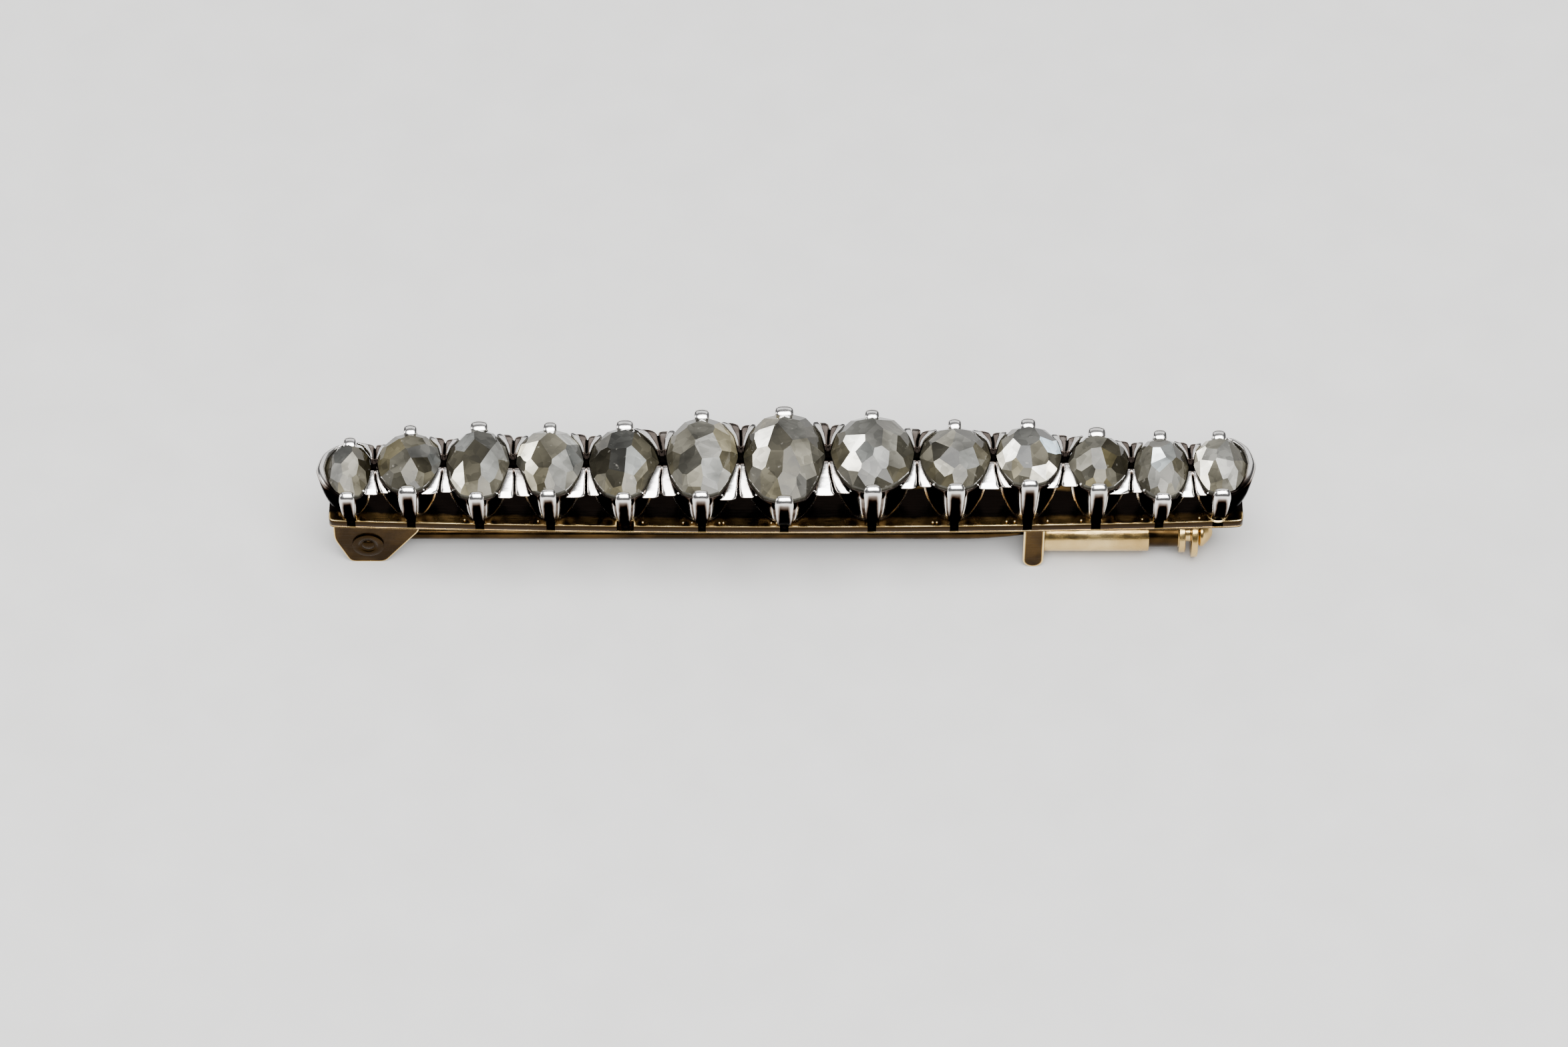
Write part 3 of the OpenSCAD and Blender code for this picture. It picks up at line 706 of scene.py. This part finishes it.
def claw_stops(k, side):
    """A claw from its foot to its tip, a row for each stop: how far out and how high its middle lies, width,
    thickness, depth of the flat between its ridges, tarnish of the flat and tarnish of the ridges. Both hold
    painted shade, darkest at the foot, and the flat's darkness is also a painted reflection."""
    seat = seats[k]
    wide = FRONT_CLAWS[k] if side < 0 else BACK_CLAWS[k]
    edge = seat.half_l * seat.reach(90 * side)
    foot = plate_half(seat.x) - FOOT_IN - side * seat.y
    foot_w = min(SLOT_WIDE[k], FOOT_WIDEST) - FOOT_CLEAR

    def on_wall(share, out):
        point = cup_point(seat, 90 * side, share, out)
        return side * (point[1] - seat.y), point[2]

    stops = [(foot, LINER_TOP + 0.05, foot_w, 0.2, 0, 1, 1),
             (foot, PLATE_TOP + 0.02, foot_w * 1.1, 0.22, 0, 1, 1),
             (*on_wall(0.13, 0.06), wide * 0.62, 0.24, 0.12, 1, 0.95),
             (*on_wall(0.34, 0.08), wide * 0.74, 0.28, 0.3, 0.95, 0.6),
             (*on_wall(0.62, 0.09), wide * 0.86, 0.3, 0.3, 0.85, 0.32),
             (*on_wall(0.9, 0.1), wide * 0.96, 0.3, 0.24, 0.75, 0.12)]
    if side < 0:
        return stops + [(edge + 0.22, seat.rim - 0.06, wide * 1.02, 0.3, 0.16, 0.5, 0.04),
                        (edge + 0.19, seat.rim + 0.1, wide, 0.32, 0.04, 0.1, 0),
                        (edge + 0.07, seat.rim + 0.22, wide * 0.92, 0.32, 0, 0, 0),
                        (edge - 0.08, seat.rim + 0.2, wide * 0.74, 0.22, 0, 0, 0),
                        (edge - 0.14, seat.rim + 0.17, wide * 0.45, 0.1, 0, 0.1, 0.1)]
    return stops + [(edge + 0.2, seat.rim + 0.02, wide * 0.8, 0.3, 0.1, 0.3, 0.03),
                    (edge + 0.15, seat.rim + 0.18, wide * 0.84, 0.34, 0, 0, 0),
                    (edge + 0.02, seat.rim + 0.28, wide * 0.97, 0.36, 0, 0, 0),
                    (edge - 0.12, seat.rim + 0.3, wide, 0.34, 0, 0, 0),
                    (edge - 0.26, seat.rim + 0.29, wide * 0.96, 0.28, 0, 0, 0),
                    (edge - 0.35, seat.rim + 0.26, wide * 0.8, 0.18, 0, 0, 0),
                    (edge - 0.39, seat.rim + 0.24, wide * 0.6, 0.06, 0, 0, 0)]


def claw_part(k, side):
    seat = seats[k]
    rows = curve_through(claw_stops(k, side), CLAW_STEPS)
    rings, tarnish_and_shade = [], []
    for j, (out, z, width, thick, flat, dark, ridge) in enumerate(rows):
        before, after = rows[max(j - 1, 0)], rows[min(j + 1, len(rows) - 1)]
        run, climb = after[0] - before[0], after[1] - before[1]
        length = math.hypot(run, climb)
        normal = (climb / length, -run / length)
        ring = []
        for n in range(CLAW_SIDES):
            angle = math.tau * n / CLAW_SIDES
            across, height = math.cos(angle), math.sin(angle)
            across = math.copysign(abs(across) ** (0.75 if side < 0 else 0.9), across)
            height = math.copysign(abs(height) ** 0.75, height)
            middle = 1 - smooth(0.5, 0.8, abs(across))
            dip = flat * max(0, height) * middle
            height = (height - 2 * dip) * thick / 2
            ring.append((seat.x + across * width / 2, seat.y + side * (out + normal[0] * height),
                         z + normal[1] * height))
            # The underside is painted black as shade; the flat is painted darker than its ridges as a painted
            # reflection.
            under = math.sin(angle) < -0.3
            tarnish_and_shade.append(1 if under or ridge > 0.97 else ridge + (dark - ridge) * middle)
        rings.append(ring)
    points, faces = loft(rings)
    return points, faces, tarnish_and_shade


add_piece("silver_claws", [claw_part(k, side) for k in range(len(seats)) for side in (-1, 1)],
          silver, "silver_setting", sharp=50)


# Solder grains
# Small grains of gold solder that ran out beside the claws' feet, and a half ring of it round the front of
# the last claw's slot.
GRAIN_X = [-15.06, -11.62, -6.71, -4.82, -4.41, -3.12, -2.93, -0.69, -0.44, 6.87, 7.06, 10.33, 10.71, 12.25,
           13.83, 16.69, 17.35, 19.37]
GRAIN_R = 0.06
GRAIN_IN = 0.22
RING_R = 0.5
RING_THICK = 0.065
RING_FROM = 195
RING_SPAN = 150
RING_STEPS = 16
RING_SIDES = 10


def grain_part(middle, radius):
    """A small round grain of metal."""
    grain = bmesh.new()
    bmesh.ops.create_icosphere(grain, subdivisions=2, radius=radius)
    part = ([(middle[0] + v.co.x, middle[1] + v.co.y, middle[2] + v.co.z) for v in grain.verts],
            [[v.index for v in face.verts] for face in grain.faces])
    grain.free()
    return part


def slot_ring(x):
    """A half ring round the front of a slot, thin at its ends."""
    rings = []
    for j in range(RING_STEPS + 1):
        turn = math.radians(RING_FROM + RING_SPAN * j / RING_STEPS)
        thick = RING_THICK * max(0.2, math.sin(math.pi * j / RING_STEPS)) ** 0.5
        wire = []
        for n in range(RING_SIDES):
            around = math.tau * n / RING_SIDES
            reach = RING_R + thick * math.cos(around)
            wire.append((x + reach * math.cos(turn), RING_R - plate_half(x) + reach * math.sin(turn),
                         PLATE_TOP + thick * math.sin(around)))
        rings.append(wire)
    return loft(rings)


grains = [grain_part((x, GRAIN_IN - plate_half(x), PLATE_TOP + 0.02), GRAIN_R) for x in GRAIN_X]
add_piece("solder_grains", grains + [slot_ring(stone_x[-1])], gold, "gold_back")


# Fishtail plates
# Between two stones, front and back, lies a plate of silver cut with the graver into two bright petals with a
# thin groove between them. It springs from the neck where the stones meet and falls away as it fans out.
NECK_LONG = 0.17
FAN_TO = 0.92
FAN_LIFT = 0.15
FAN_SLOPE = 0.3
BACK_SLOPE = 0.12
FAN_THICK = 0.26
FAN_ACROSS = 56
FAN_ALONG = 20
STONE_CLEAR = 0.03
PETAL_CROWN = 0.03
BACK_ARM = 0.08
GROOVE_WIDE = 0.045
GROOVE_DEEP = 0.12
# Where the groove lies across each front plate, from its left edge (-1) to its right edge (1).
GROOVES = [0.2, 0, 0, 0.1, 0, -0.06, 0.14, 0.02, 0.3, -0.3, 0.1, 0.08]
BEAD_R = 0.06
BEAD_AT = 0.9
BEAD_OUT = 0.04


def fan_part(k, side):
    left, right = seats[k], seats[k + 1]
    long = min(left.half_l, right.half_l)
    level = (left.rim + right.rim) / 2
    middle = (left.y + right.y) / 2
    split = GROOVES[k] if side < 0 else 0
    slope = FAN_SLOPE if side < 0 else BACK_SLOPE
    rings, tarnish_and_shade = [], []
    for j in range(FAN_ALONG + 1):
        v = j / FAN_ALONG
        top, low = [], []
        for n in range(FAN_ACROSS + 1):
            u = 2 * n / FAN_ACROSS - 1
            across = (u - split) / (1 - split if u > split else 1 + split)
            square = 1 - 0.14 * (abs(abs(across) - 0.5) / 0.5) ** 4 - (0.06 if across > 0 else 0)
            out = FAN_TO * v * (1 - smooth(0.5, 1, v) * (1 - square))
            y = middle + side * out * long
            a, b = left.side_at(y, 1) + STONE_CLEAR, right.side_at(y, -1) - STONE_CLEAR
            gap = (b - a) / 2
            x = (a + b) / 2 + u * gap
            cut = smooth(0.15, 0.4, v) * math.exp(-((u - split) * gap / GROOVE_WIDE) ** 2)
            neck = 1 - smooth(NECK_LONG, NECK_LONG + 0.06, v) + 0.35 * (1 - smooth(NECK_LONG, 0.4, v))
            if side < 0:
                petal = PETAL_CROWN * smooth(0.1, 0.5, v) * (1 - ((abs(across) - 0.5) / 0.5) ** 2)
                petal_shade = 0.22 if across > 0 else 0
            else:
                petal = BACK_ARM * smooth(0.48, 0.62, abs(u)) - PETAL_CROWN
                petal_shade = 0.45 * (1 - smooth(0.48, 0.6, abs(u)))
            edge = 0.06 * smooth(0.9, 1, v) + 0.03 * smooth(0.94, 1, abs(u))
            fall = FAN_LIFT * smooth(0.1, 0.25, v) - slope * FAN_TO * long * max(0, v - NECK_LONG)
            z = level + fall + petal - GROOVE_DEEP * cut - edge
            top.append((x, y, z))
            low.append((x, y, z - FAN_THICK * min(1, (1 - v) * 6 + 0.25)))
            # Painted shade: dark in the groove, black at the neck between the stones, darker on the right
            # front petal and in the middle of each back plate.
            tarnish_and_shade.append(min(1, max(0.9 * cut, neck, petal_shade)))
        rings.append(top + low[::-1])
        # The underside is painted dark as shade.
        tarnish_and_shade += [0.85] * (FAN_ACROSS + 1)
    points, faces = loft(rings, capped=False)
    last = 2 * FAN_ACROSS + 1
    for start in (0, FAN_ALONG * (last + 1)):
        near, far = start, start + last
        faces += [(near + n, near + n + 1, far - n - 1, far - n) for n in range(FAN_ACROSS)]
    return points, faces, tarnish_and_shade


def corner_beads(k, side):
    """A bead raised with the graver in each outer corner of a plate."""
    left, right = seats[k], seats[k + 1]
    long = min(left.half_l, right.half_l)
    y = (left.y + right.y) / 2 + side * FAN_TO * BEAD_AT * long
    z = (left.rim + right.rim) / 2 + FAN_LIFT - FAN_SLOPE * FAN_TO * (BEAD_AT - NECK_LONG) * long
    return [grain_part((left.side_at(y, 1) + BEAD_OUT, y, z), BEAD_R),
            grain_part((right.side_at(y, -1) - BEAD_OUT, y, z), BEAD_R)]


fishtails = [fan_part(k, side) for k in range(len(seats) - 1) for side in (-1, 1)]
for k in range(len(seats) - 1):
    fishtails += corner_beads(k, -1)
add_piece("silver_fishtails", fishtails, silver, "silver_setting", sharp=40)


# End shoulders
# The row closes at each end in a polished crescent of silver, thick at its middle and running out to nothing
# at the last stone's claws. Its outside sweeps down with the cup.
SHOULDER_WIDE = 0.34
SHOULDER_RISE = 0.2
SHOULDER_STEPS = 40
SHOULDER_HALF = 84
# The rolled top's sweep, as a share of half a turn.
ROLL = 0.85


def shoulder_section(seat, turn, thick):
    """One section of a shoulder: its points, and how dark each is painted."""
    lift = SHOULDER_RISE * (thick / SHOULDER_WIDE) ** 0.5
    # each row: the share of the cup's height, how far outside its wall, how far above, and how dark it is
    # the inside, up to the stone's edge
    rows = [(1, 0.02 - RIM_WALL, -0.3, 0.6), (1, 0.03 - RIM_WALL, RIM_DROP, 0.3),
            (1, 0.06 - RIM_WALL, RIM_DROP + lift * 0.8, 0)]
    # the rolled top
    for n, dark in enumerate((0, 0, 0, 0, 0, 0.25, 0.5)):
        angle = math.pi * (ROLL - ROLL * n / 6)
        out = thick * (0.5 + 0.5 * math.cos(angle)) - RIM_WALL * (1 - n / 6)
        rows.append((1, out, RIM_DROP + lift * math.sin(angle), dark))
    # the sweep down the cup's outside, and back up inside its wall
    for share, dark in ((0.92, 0.75), (0.8, 0.85), (0.66, 0.85), (0.5, 0.8), (0.34, 0.85), (0.2, 1),
                        (0.1, 1)):
        rows.append((share, thick * share ** 0.5 * 0.9 - 0.02, 0, dark))
    rows += [(0.1, -0.14, 0, 1), (0.5, -0.14, 0, 1)]
    return [cup_point(seat, turn, share, out, up) for share, out, up, _ in rows], [row[3] for row in rows]


def shoulder_part(seat, side):
    rings, tarnish_and_shade = [], []
    for j in range(SHOULDER_STEPS + 1):
        off = -SHOULDER_HALF + 2 * SHOULDER_HALF * j / SHOULDER_STEPS
        turn = off if side > 0 else 180 - off
        thick = SHOULDER_WIDE * max(0.06, math.cos(math.radians(off))) ** (1.4 if side > 0 else 2)
        ring, darkness = shoulder_section(seat, turn, thick)
        # The shoulder is darker towards the front.
        front = 0.85 * smooth(10, 55, -off)
        rings.append(ring)
        tarnish_and_shade += [max(front, dark) for dark in darkness]
    points, faces = loft(rings)
    return points, faces, tarnish_and_shade


add_piece("silver_shoulders", [shoulder_part(seats[0], -1), shoulder_part(seats[-1], 1)],
          silver, "silver_setting", sharp=60)


# Rose-cut stones
# Old rose-cut diamonds with flat backs, low domed crowns and large uneven facets, each ground flat. They are
# grey to brownish, cloudy or flecked inside, and no two match.
EDGE_SIDES = 48
EDGE_FACETS = 12
EDGE_RISE = 0.03
EDGE_BAND = 0.165
EDGE_WARMER = 0.15
# Each facet is painted lighter to one side and darker to the other as painted shade: the turn of that side
# from facet to facet, and how strongly.
FACET_LEAN = 2.4
FACET_FADE = 0.45
# The large facets of each stone: how far right and how far back the middle lies, as shares of the half
# sizes, the brightness, and the warmth. The brightness is painted reflected light, with 1 a painted glint.
ROSE_FACETS = [
    [(0.11, -0.25, 0.7, 0.1), (-0.31, 0.21, 0.45, -0.15), (-0.57, -0.42, 0.62, 0), (-0.92, 0.09, 0.35, 0.7),
     (-0.06, -0.85, 0.6, 0.3), (0.66, 0.37, 0.38, 0.9), (0.83, -0.03, 0.18, 0.8), (0.74, -0.4, 0.5, 0.4),
     (0.46, -0.8, 0.55, 0.4)],
    [(0.17, 0.46, 0.5, 0.3), (-0.55, 0.15, 0.5, 0.7), (-0.84, -0.29, 0.42, 0.7), (-0.33, -0.3, 0.46, 0.2),
     (0.39, 0.08, 0.46, 0), (0.51, -0.29, 0.3, 0.5), (0.84, -0.09, 0.5, -0.2), (0.06, -0.63, 0.5, 0.45),
     (-0.3, -0.84, 0.38, 0.3), (0.44, -0.79, 0.52, 0.35)],
    [(-0.47, 0.33, 0.56, -0.2), (0.26, 0.43, 0.45, 0), (-0.03, -0.06, 0.3, 0.6), (-0.2, -0.53, 0.42, 0.4),
     (-0.77, -0.11, 0.42, 0.4), (0.47, -0.44, 0.68, -0.15), (0.84, 0.17, 0.6, -0.1), (0.73, -0.57, 0.62, 0.2),
     (-0.19, -0.9, 0.58, 0.4), (-0.59, -0.59, 0.95, 0.1)],
    [(-0.71, 0.03, 1, 0.15), (-0.55, -0.46, 0.9, 0.25), (-0.53, 0.67, 0.6, 0.4), (0.15, 0.06, 0.5, 0.35),
     (-0.24, -0.2, 0.4, 0.4), (0.62, 0.63, 0.74, -0.1), (0.78, -0.08, 0.52, -0.2), (0.46, -0.25, 0.7, -0.1),
     (0.35, -0.71, 0.66, -0.05), (-0.33, -0.71, 0.48, 0.5), (-0.89, -0.16, 0.4, 0.1),
     (0.07, -0.92, 0.56, 0.3)],
    [(-0.15, 0.34, 0.38, -0.1), (-0.68, 0.45, 0.42, 0.3), (-0.64, -0.24, 0.2, 0.5), (-0.27, -0.67, 0.32, 0.4),
     (-0.17, -0.3, 0.28, 0), (0.27, -0.34, 0.72, -0.25), (0.21, -0.82, 0.6, 0.35), (0.64, 0.22, 0.45, 0.45),
     (0.54, -0.58, 0.6, 0.4), (-0.44, -0.81, 0.5, 0.5)],
    [(-0.02, 0.43, 0.5, 0.05), (-0.53, 0.13, 0.55, 0.2), (-0.36, -0.41, 0.38, 0.1), (-0.85, -0.29, 0.42, 0.4),
     (0.67, 0.24, 0.66, 0.55), (0.22, -0.03, 0.68, 0), (0.35, -0.59, 0.72, -0.15), (0.85, -0.3, 0.45, 0.6),
     (-0.24, -0.75, 0.65, 0.25), (-0.48, -0.79, 0.55, 0.2), (0.29, -0.87, 0.6, 0)],
    [(-0.51, 0.7, 0.55, 0.5), (-0.53, 0.21, 1, 0), (-0.88, 0.12, 0.33, 0.7), (-0.6, -0.25, 0.88, 0.1),
     (-0.16, 0.08, 0.36, 0.45), (-0.23, -0.41, 0.42, 0.35), (0.16, -0.44, 0.42, 0.75), (0.23, 0.4, 0.52, 0),
     (0.75, 0.54, 0.38, 0.5), (0.47, -0.23, 0.62, 0.2), (0.89, -0.14, 0.45, 0.2), (0.61, -0.51, 0.62, 0.1),
     (0.09, -0.77, 0.52, 0.5), (-0.44, -0.66, 0.5, 0.4), (-0.77, -0.5, 0.42, 0.4), (0.51, -0.76, 0.5, 0)],
    [(-0.32, 0.34, 0.5, -0.05), (-0.42, -0.03, 1, 0), (-0.52, -0.49, 1, 0.05), (0.06, -0.01, 0.48, 0),
     (0.4, -0.04, 0.62, 0.05), (0.21, -0.4, 0.7, -0.1), (-0.01, -0.59, 0.62, -0.05), (0.56, -0.44, 0.57, 0.1),
     (-0.18, -0.3, 0.56, -0.2), (0.52, 0.52, 0.52, 0.1), (0.76, -0.07, 0.36, 0.3), (0.57, -0.65, 0.42, 0.45),
     (-0.78, -0.21, 0.42, 0.5), (-0.6, -0.7, 0.48, 0.4), (-0.16, -0.87, 0.52, 0.05),
     (0.31, -0.87, 0.38, 0.2)],
    [(-0.49, 0.52, 0.52, 0.2), (0.39, 0.53, 0.4, 0.1), (-0.26, 0.19, 0.64, 0.15), (-0.47, -0.06, 0.32, 0.2),
     (-0.2, -0.38, 0.38, 0.1), (-0.33, -0.56, 0.78, 0.1), (0.39, -0.36, 0.68, -0.15), (0.14, 0.09, 0.55, 0),
     (0.81, -0.17, 0.48, 0.45), (-0.83, -0.09, 0.52, 0.3), (-0.52, -0.74, 0.4, 0.5), (0.14, -0.86, 0.6, 0.2),
     (0.56, -0.73, 0.55, 0.3)],
    [(-0.1, 0.17, 0.45, -0.05), (-0.6, -0.18, 1, 0), (-0.87, 0.3, 0.52, 0.3), (-0.17, -0.42, 0.48, -0.15),
     (0.26, -0.37, 0.54, 0.3), (0.74, 0.06, 0.9, -1), (0.88, -0.28, 0.4, 0.3), (0.4, -0.79, 1, 0),
     (-0.43, -0.64, 0.62, 0.5), (-0.68, -0.62, 0.6, 0.25), (-0.24, -0.89, 0.6, 0.2), (0.62, 0.5, 0.28, 0)],
    [(0.04, -0.31, 0.6, 0.05), (-0.65, 0.2, 0.5, 0.2), (-0.48, -0.34, 0.68, 0.1), (0.65, -0.37, 0.22, 0.6),
     (0.35, -0.22, 0.42, 0.9), (0.48, 0.21, 0.34, 0.5), (0.04, -0.82, 0.6, 0.65), (-0.39, -0.64, 0.4, 0.2),
     (-0.07, 0.46, 0.52, 0.1), (0.46, -0.75, 0.5, 0.3)],
    [(-0.11, -0.02, 1, -0.5), (-0.04, -0.25, 0.74, -0.5), (0.22, 0.16, 0.6, -0.3), (-0.62, 0.07, 0.5, 0.2),
     (-0.06, 0.55, 0.48, 0.1), (0.72, 0.27, 0.32, 0.3), (0.72, -0.25, 0.42, 0.5), (0.13, -0.5, 0.52, 0.15),
     (-0.32, -0.64, 0.64, -0.05), (-0.76, -0.39, 0.5, 0.2), (-0.01, -0.83, 0.66, 0.1), (0.6, -0.67, 0.6, 0)],
    [(-0.78, 0.27, 1, 0.1), (-0.68, -0.3, 1, 0.05), (-0.47, 0.08, 0.66, 0), (-0.28, 0.43, 0.6, 0.1),
     (0.15, 0.01, 0.55, -0.05), (0.65, 0.13, 0.4, 0.3), (0.12, -0.41, 0.74, 0), (0.49, -0.69, 0.76, 0),
     (-0.28, -0.62, 0.5, 0.3), (-0.27, -0.88, 0.55, 0.4), (0.84, -0.18, 0.5, 0.4)],
]


def facet_colour(bright, warm):
    """The colour painted on one facet, from clear bluish grey to olive brown: its brightness is painted
    reflected light, the brightest a painted glint.
    """
    depth = 0.012 + 0.84 * bright ** 3.4 + 1.1 * bright ** 12
    if warm > 0:
        return (depth * (1 + 0.1 * warm), depth * (0.97 - 0.05 * warm), depth * (0.84 - 0.4 * warm))
    return (depth * (1 + 0.3 * warm), depth * (0.98 + 0.1 * warm), depth * (0.88 - 0.1 * warm))


def grinding_planes(k):
    """Each facet's plane as a point, its rise to the right and to the back, and its colour."""
    seat = seats[k]
    rise = seat.peak - seat.rim
    planes = []
    for u, v, bright, warm in ROSE_FACETS[k]:
        height = rise * (1 - u * u - v * v)
        planes.append((u, v, height, -2 * rise * u, -2 * rise * v, facet_colour(bright, warm)))
    for n in range(EDGE_FACETS):
        turn = 15 + 360 * n / EDGE_FACETS
        reach = seat.reach(turn)
        u, v = math.cos(math.radians(turn)), math.sin(math.radians(turn))
        steep = rise * (1 - 0.7 * reach * reach) / EDGE_BAND / reach
        _, _, bright, warm = min(ROSE_FACETS[k], key=lambda facet: math.dist(facet[:2], (u, v)))
        bright *= 0.86 + 0.16 * math.sin(5 * n + 3 * k)
        planes.append((u * reach, v * reach, EDGE_RISE, -steep * u, -steep * v,
                       facet_colour(bright, warm + EDGE_WARMER)))
    return planes


def cut_block(k):
    """A block with the stone's outline, ground on each plane in turn, and the colours its faces number."""
    seat = seats[k]
    block = bmesh.new()
    cut_by = block.faces.layers.int.new("cut_by")
    turns = [360 * n / EDGE_SIDES for n in range(EDGE_SIDES)]
    edge = [(seat.x + seat.half_w * seat.reach(turn) * math.cos(math.radians(turn)),
             seat.y + seat.half_l * seat.reach(turn) * math.sin(math.radians(turn))) for turn in turns]
    low, high = [[block.verts.new((x, y, z)) for x, y in edge] for z in (seat.back, seat.peak + 1)]
    block.faces.new(low[::-1])
    block.faces.new(high)
    for n in range(EDGE_SIDES):
        after = (n + 1) % EDGE_SIDES
        block.faces.new((low[n], low[after], high[after], high[n]))
    colours = [facet_colour(0.45, 0.3)]
    for u, v, height, to_right, to_back, colour in grinding_planes(k):
        colours.append(colour)
        at = Vector((seat.x + u * seat.half_w, seat.y + v * seat.half_l, seat.rim + height))
        up = Vector((-to_right / seat.half_w, -to_back / seat.half_l, 1)).normalized()
        cut = bmesh.ops.bisect_plane(block, geom=block.verts[:] + block.edges[:] + block.faces[:], dist=1e-5,
                                     plane_co=at, plane_no=up, clear_outer=True)
        open_edges = [part for part in cut["geom_cut"] if isinstance(part, bmesh.types.BMEdge)]
        for face in bmesh.ops.edgeloop_fill(block, edges=open_edges)["faces"]:
            face[cut_by] = len(colours) - 1
    return block, cut_by, colours


def rose_cut(k, material):
    seat = seats[k]
    block, cut_by, colours = cut_block(k)
    top = max(corner.co.z for corner in block.verts)
    for corner in block.verts:
        above = max(0, corner.co.z - seat.rim)
        corner.co.z -= above * (1 - (seat.peak - seat.rim) / (top - seat.rim))
        corner.co *= MM
    bmesh.ops.recalc_face_normals(block, faces=block.faces)
    shades = []
    # Each facet's colour is painted lighter to one side and darker to the other, as painted shade.
    for face in block.faces:
        middle = face.calc_center_median()
        lean = FACET_LEAN * face[cut_by] + k
        for loop in face.loops:
            away = (loop.vert.co - middle) / MM
            shade = 1 + FACET_FADE * (away.x * math.cos(lean) + away.y * math.sin(lean))
            shades += [max(0.5, min(1.5, shade)) * c for c in colours[face[cut_by]]] + [1]
    mesh = bpy.data.meshes.new(f"rose_cut_{k + 1:02d}")
    block.to_mesh(mesh)
    block.free()
    mesh.attributes.new("body", "FLOAT_COLOR", "CORNER").data.foreach_set("color", shades)
    fitted(mesh.name, mesh, material, STONE_NODES[k], "brooch")


def old_diamond():
    """Old diamond: each facet is painted with its own reflected light, over a cloudy body with streaks and
    pale flecks in it.
    """
    finish = Finish("old_diamond")
    cloud = finish.ramp(finish.noise(0.8, 6, (1, 1.6, 1)), [(0.32, 0.6), (0.5, 0.9), (0.68, 1.0)])
    clouded = finish.mixed(1, finish.carried("body").outputs["Color"], cloud, "MULTIPLY")
    chips = finish.nodes.new("ShaderNodeTexVoronoi")
    finish.feed(chips.inputs["Scale"], 2.4 / MM)
    finish.feed(chips.inputs["Vector"], finish.where())
    glimpse = finish.ramp(chips.outputs["Color"], [(0.2, 0.66), (0.8, 1.0)])
    flecks = finish.ramp(finish.noise(3, 5), [(0.66, 0), (0.8, 0.25)])
    facet_light_and_cloud = finish.mixed(1, clouded, glimpse, "MULTIPLY")
    finish.surface({
        "Base Color": finish.mixed(flecks, facet_light_and_cloud, (0.6, 0.57, 0.5, 1)),
        "Roughness": 0.03,
        "IOR": 2.42,
        "Specular IOR Level": 0.03,
        "Transmission Weight": 0.06})
    return finish.material


diamond = old_diamond()
for k in range(len(seats)):
    rose_cut(k, diamond)


# Table, light and camera
# The brooch lies on a plain pale table. A large soft lamp hangs above it, with a weak one to its left and one
# behind, and it is seen from the front and above as in the photograph.
TABLE_HALF = 1.5
CAMERA_RISE = math.radians(50)
CAMERA_FAR = 0.28
VIEW_WIDE = 0.07395
SENSOR_WIDE = 36
AIM = Vector((-0.0000945, 0, 0.00187))


def pale_table():
    finish = Finish("pale_table")
    grain = finish.ramp(finish.noise(0.3, 3), [(0.3, (0.54, 0.535, 0.525)), (0.7, (0.57, 0.565, 0.555))])
    finish.surface({"Base Color": grain, "Roughness": 0.7})
    return finish.material


corners = [(-TABLE_HALF, -TABLE_HALF, 0), (TABLE_HALF, -TABLE_HALF, 0), (TABLE_HALF, TABLE_HALF, 0),
           (-TABLE_HALF, TABLE_HALF, 0)]
table_mesh = bpy.data.meshes.new("table")
table_mesh.from_pydata(corners, [], [(0, 1, 2, 3)])
table_mesh.materials.append(pale_table())
laid_out("table", table_mesh)


def soft_lamp(name, place, size, power):
    """A rectangular lamp turned to the brooch."""
    lamp = bpy.data.lights.new(name, "AREA")
    lamp.shape = "RECTANGLE"
    lamp.size, lamp.size_y = size
    lamp.energy = power
    holder = laid_out(name, lamp)
    holder.location = place
    holder.rotation_euler = (-Vector(place)).to_track_quat("-Z", "Y").to_euler()


soft_lamp("key", (0.03, -0.15, 0.42), (0.42, 0.46), 8.4)
soft_lamp("fill", (-0.3, 0.02, 0.16), (0.16, 0.2), 0.35)
soft_lamp("back", (0, 0.3, 0.26), (0.5, 0.24), 0.4)
world = bpy.data.worlds.new("studio")
bpy.context.scene.world = world
world.use_nodes = True
world.node_tree.nodes["Background"].inputs["Color"].default_value = (0.08, 0.08, 0.085, 1)

camera = laid_out("camera", bpy.data.cameras.new("camera"))
camera.data.sensor_width = SENSOR_WIDE
camera.data.lens = SENSOR_WIDE * CAMERA_FAR / VIEW_WIDE
camera.data.clip_start = 0.01
back = Vector((0, -math.cos(CAMERA_RISE), math.sin(CAMERA_RISE)))
camera.location = AIM + back * CAMERA_FAR
camera.rotation_euler = (-back).to_track_quat("-Z", "Y").to_euler()
bpy.context.scene.camera = camera
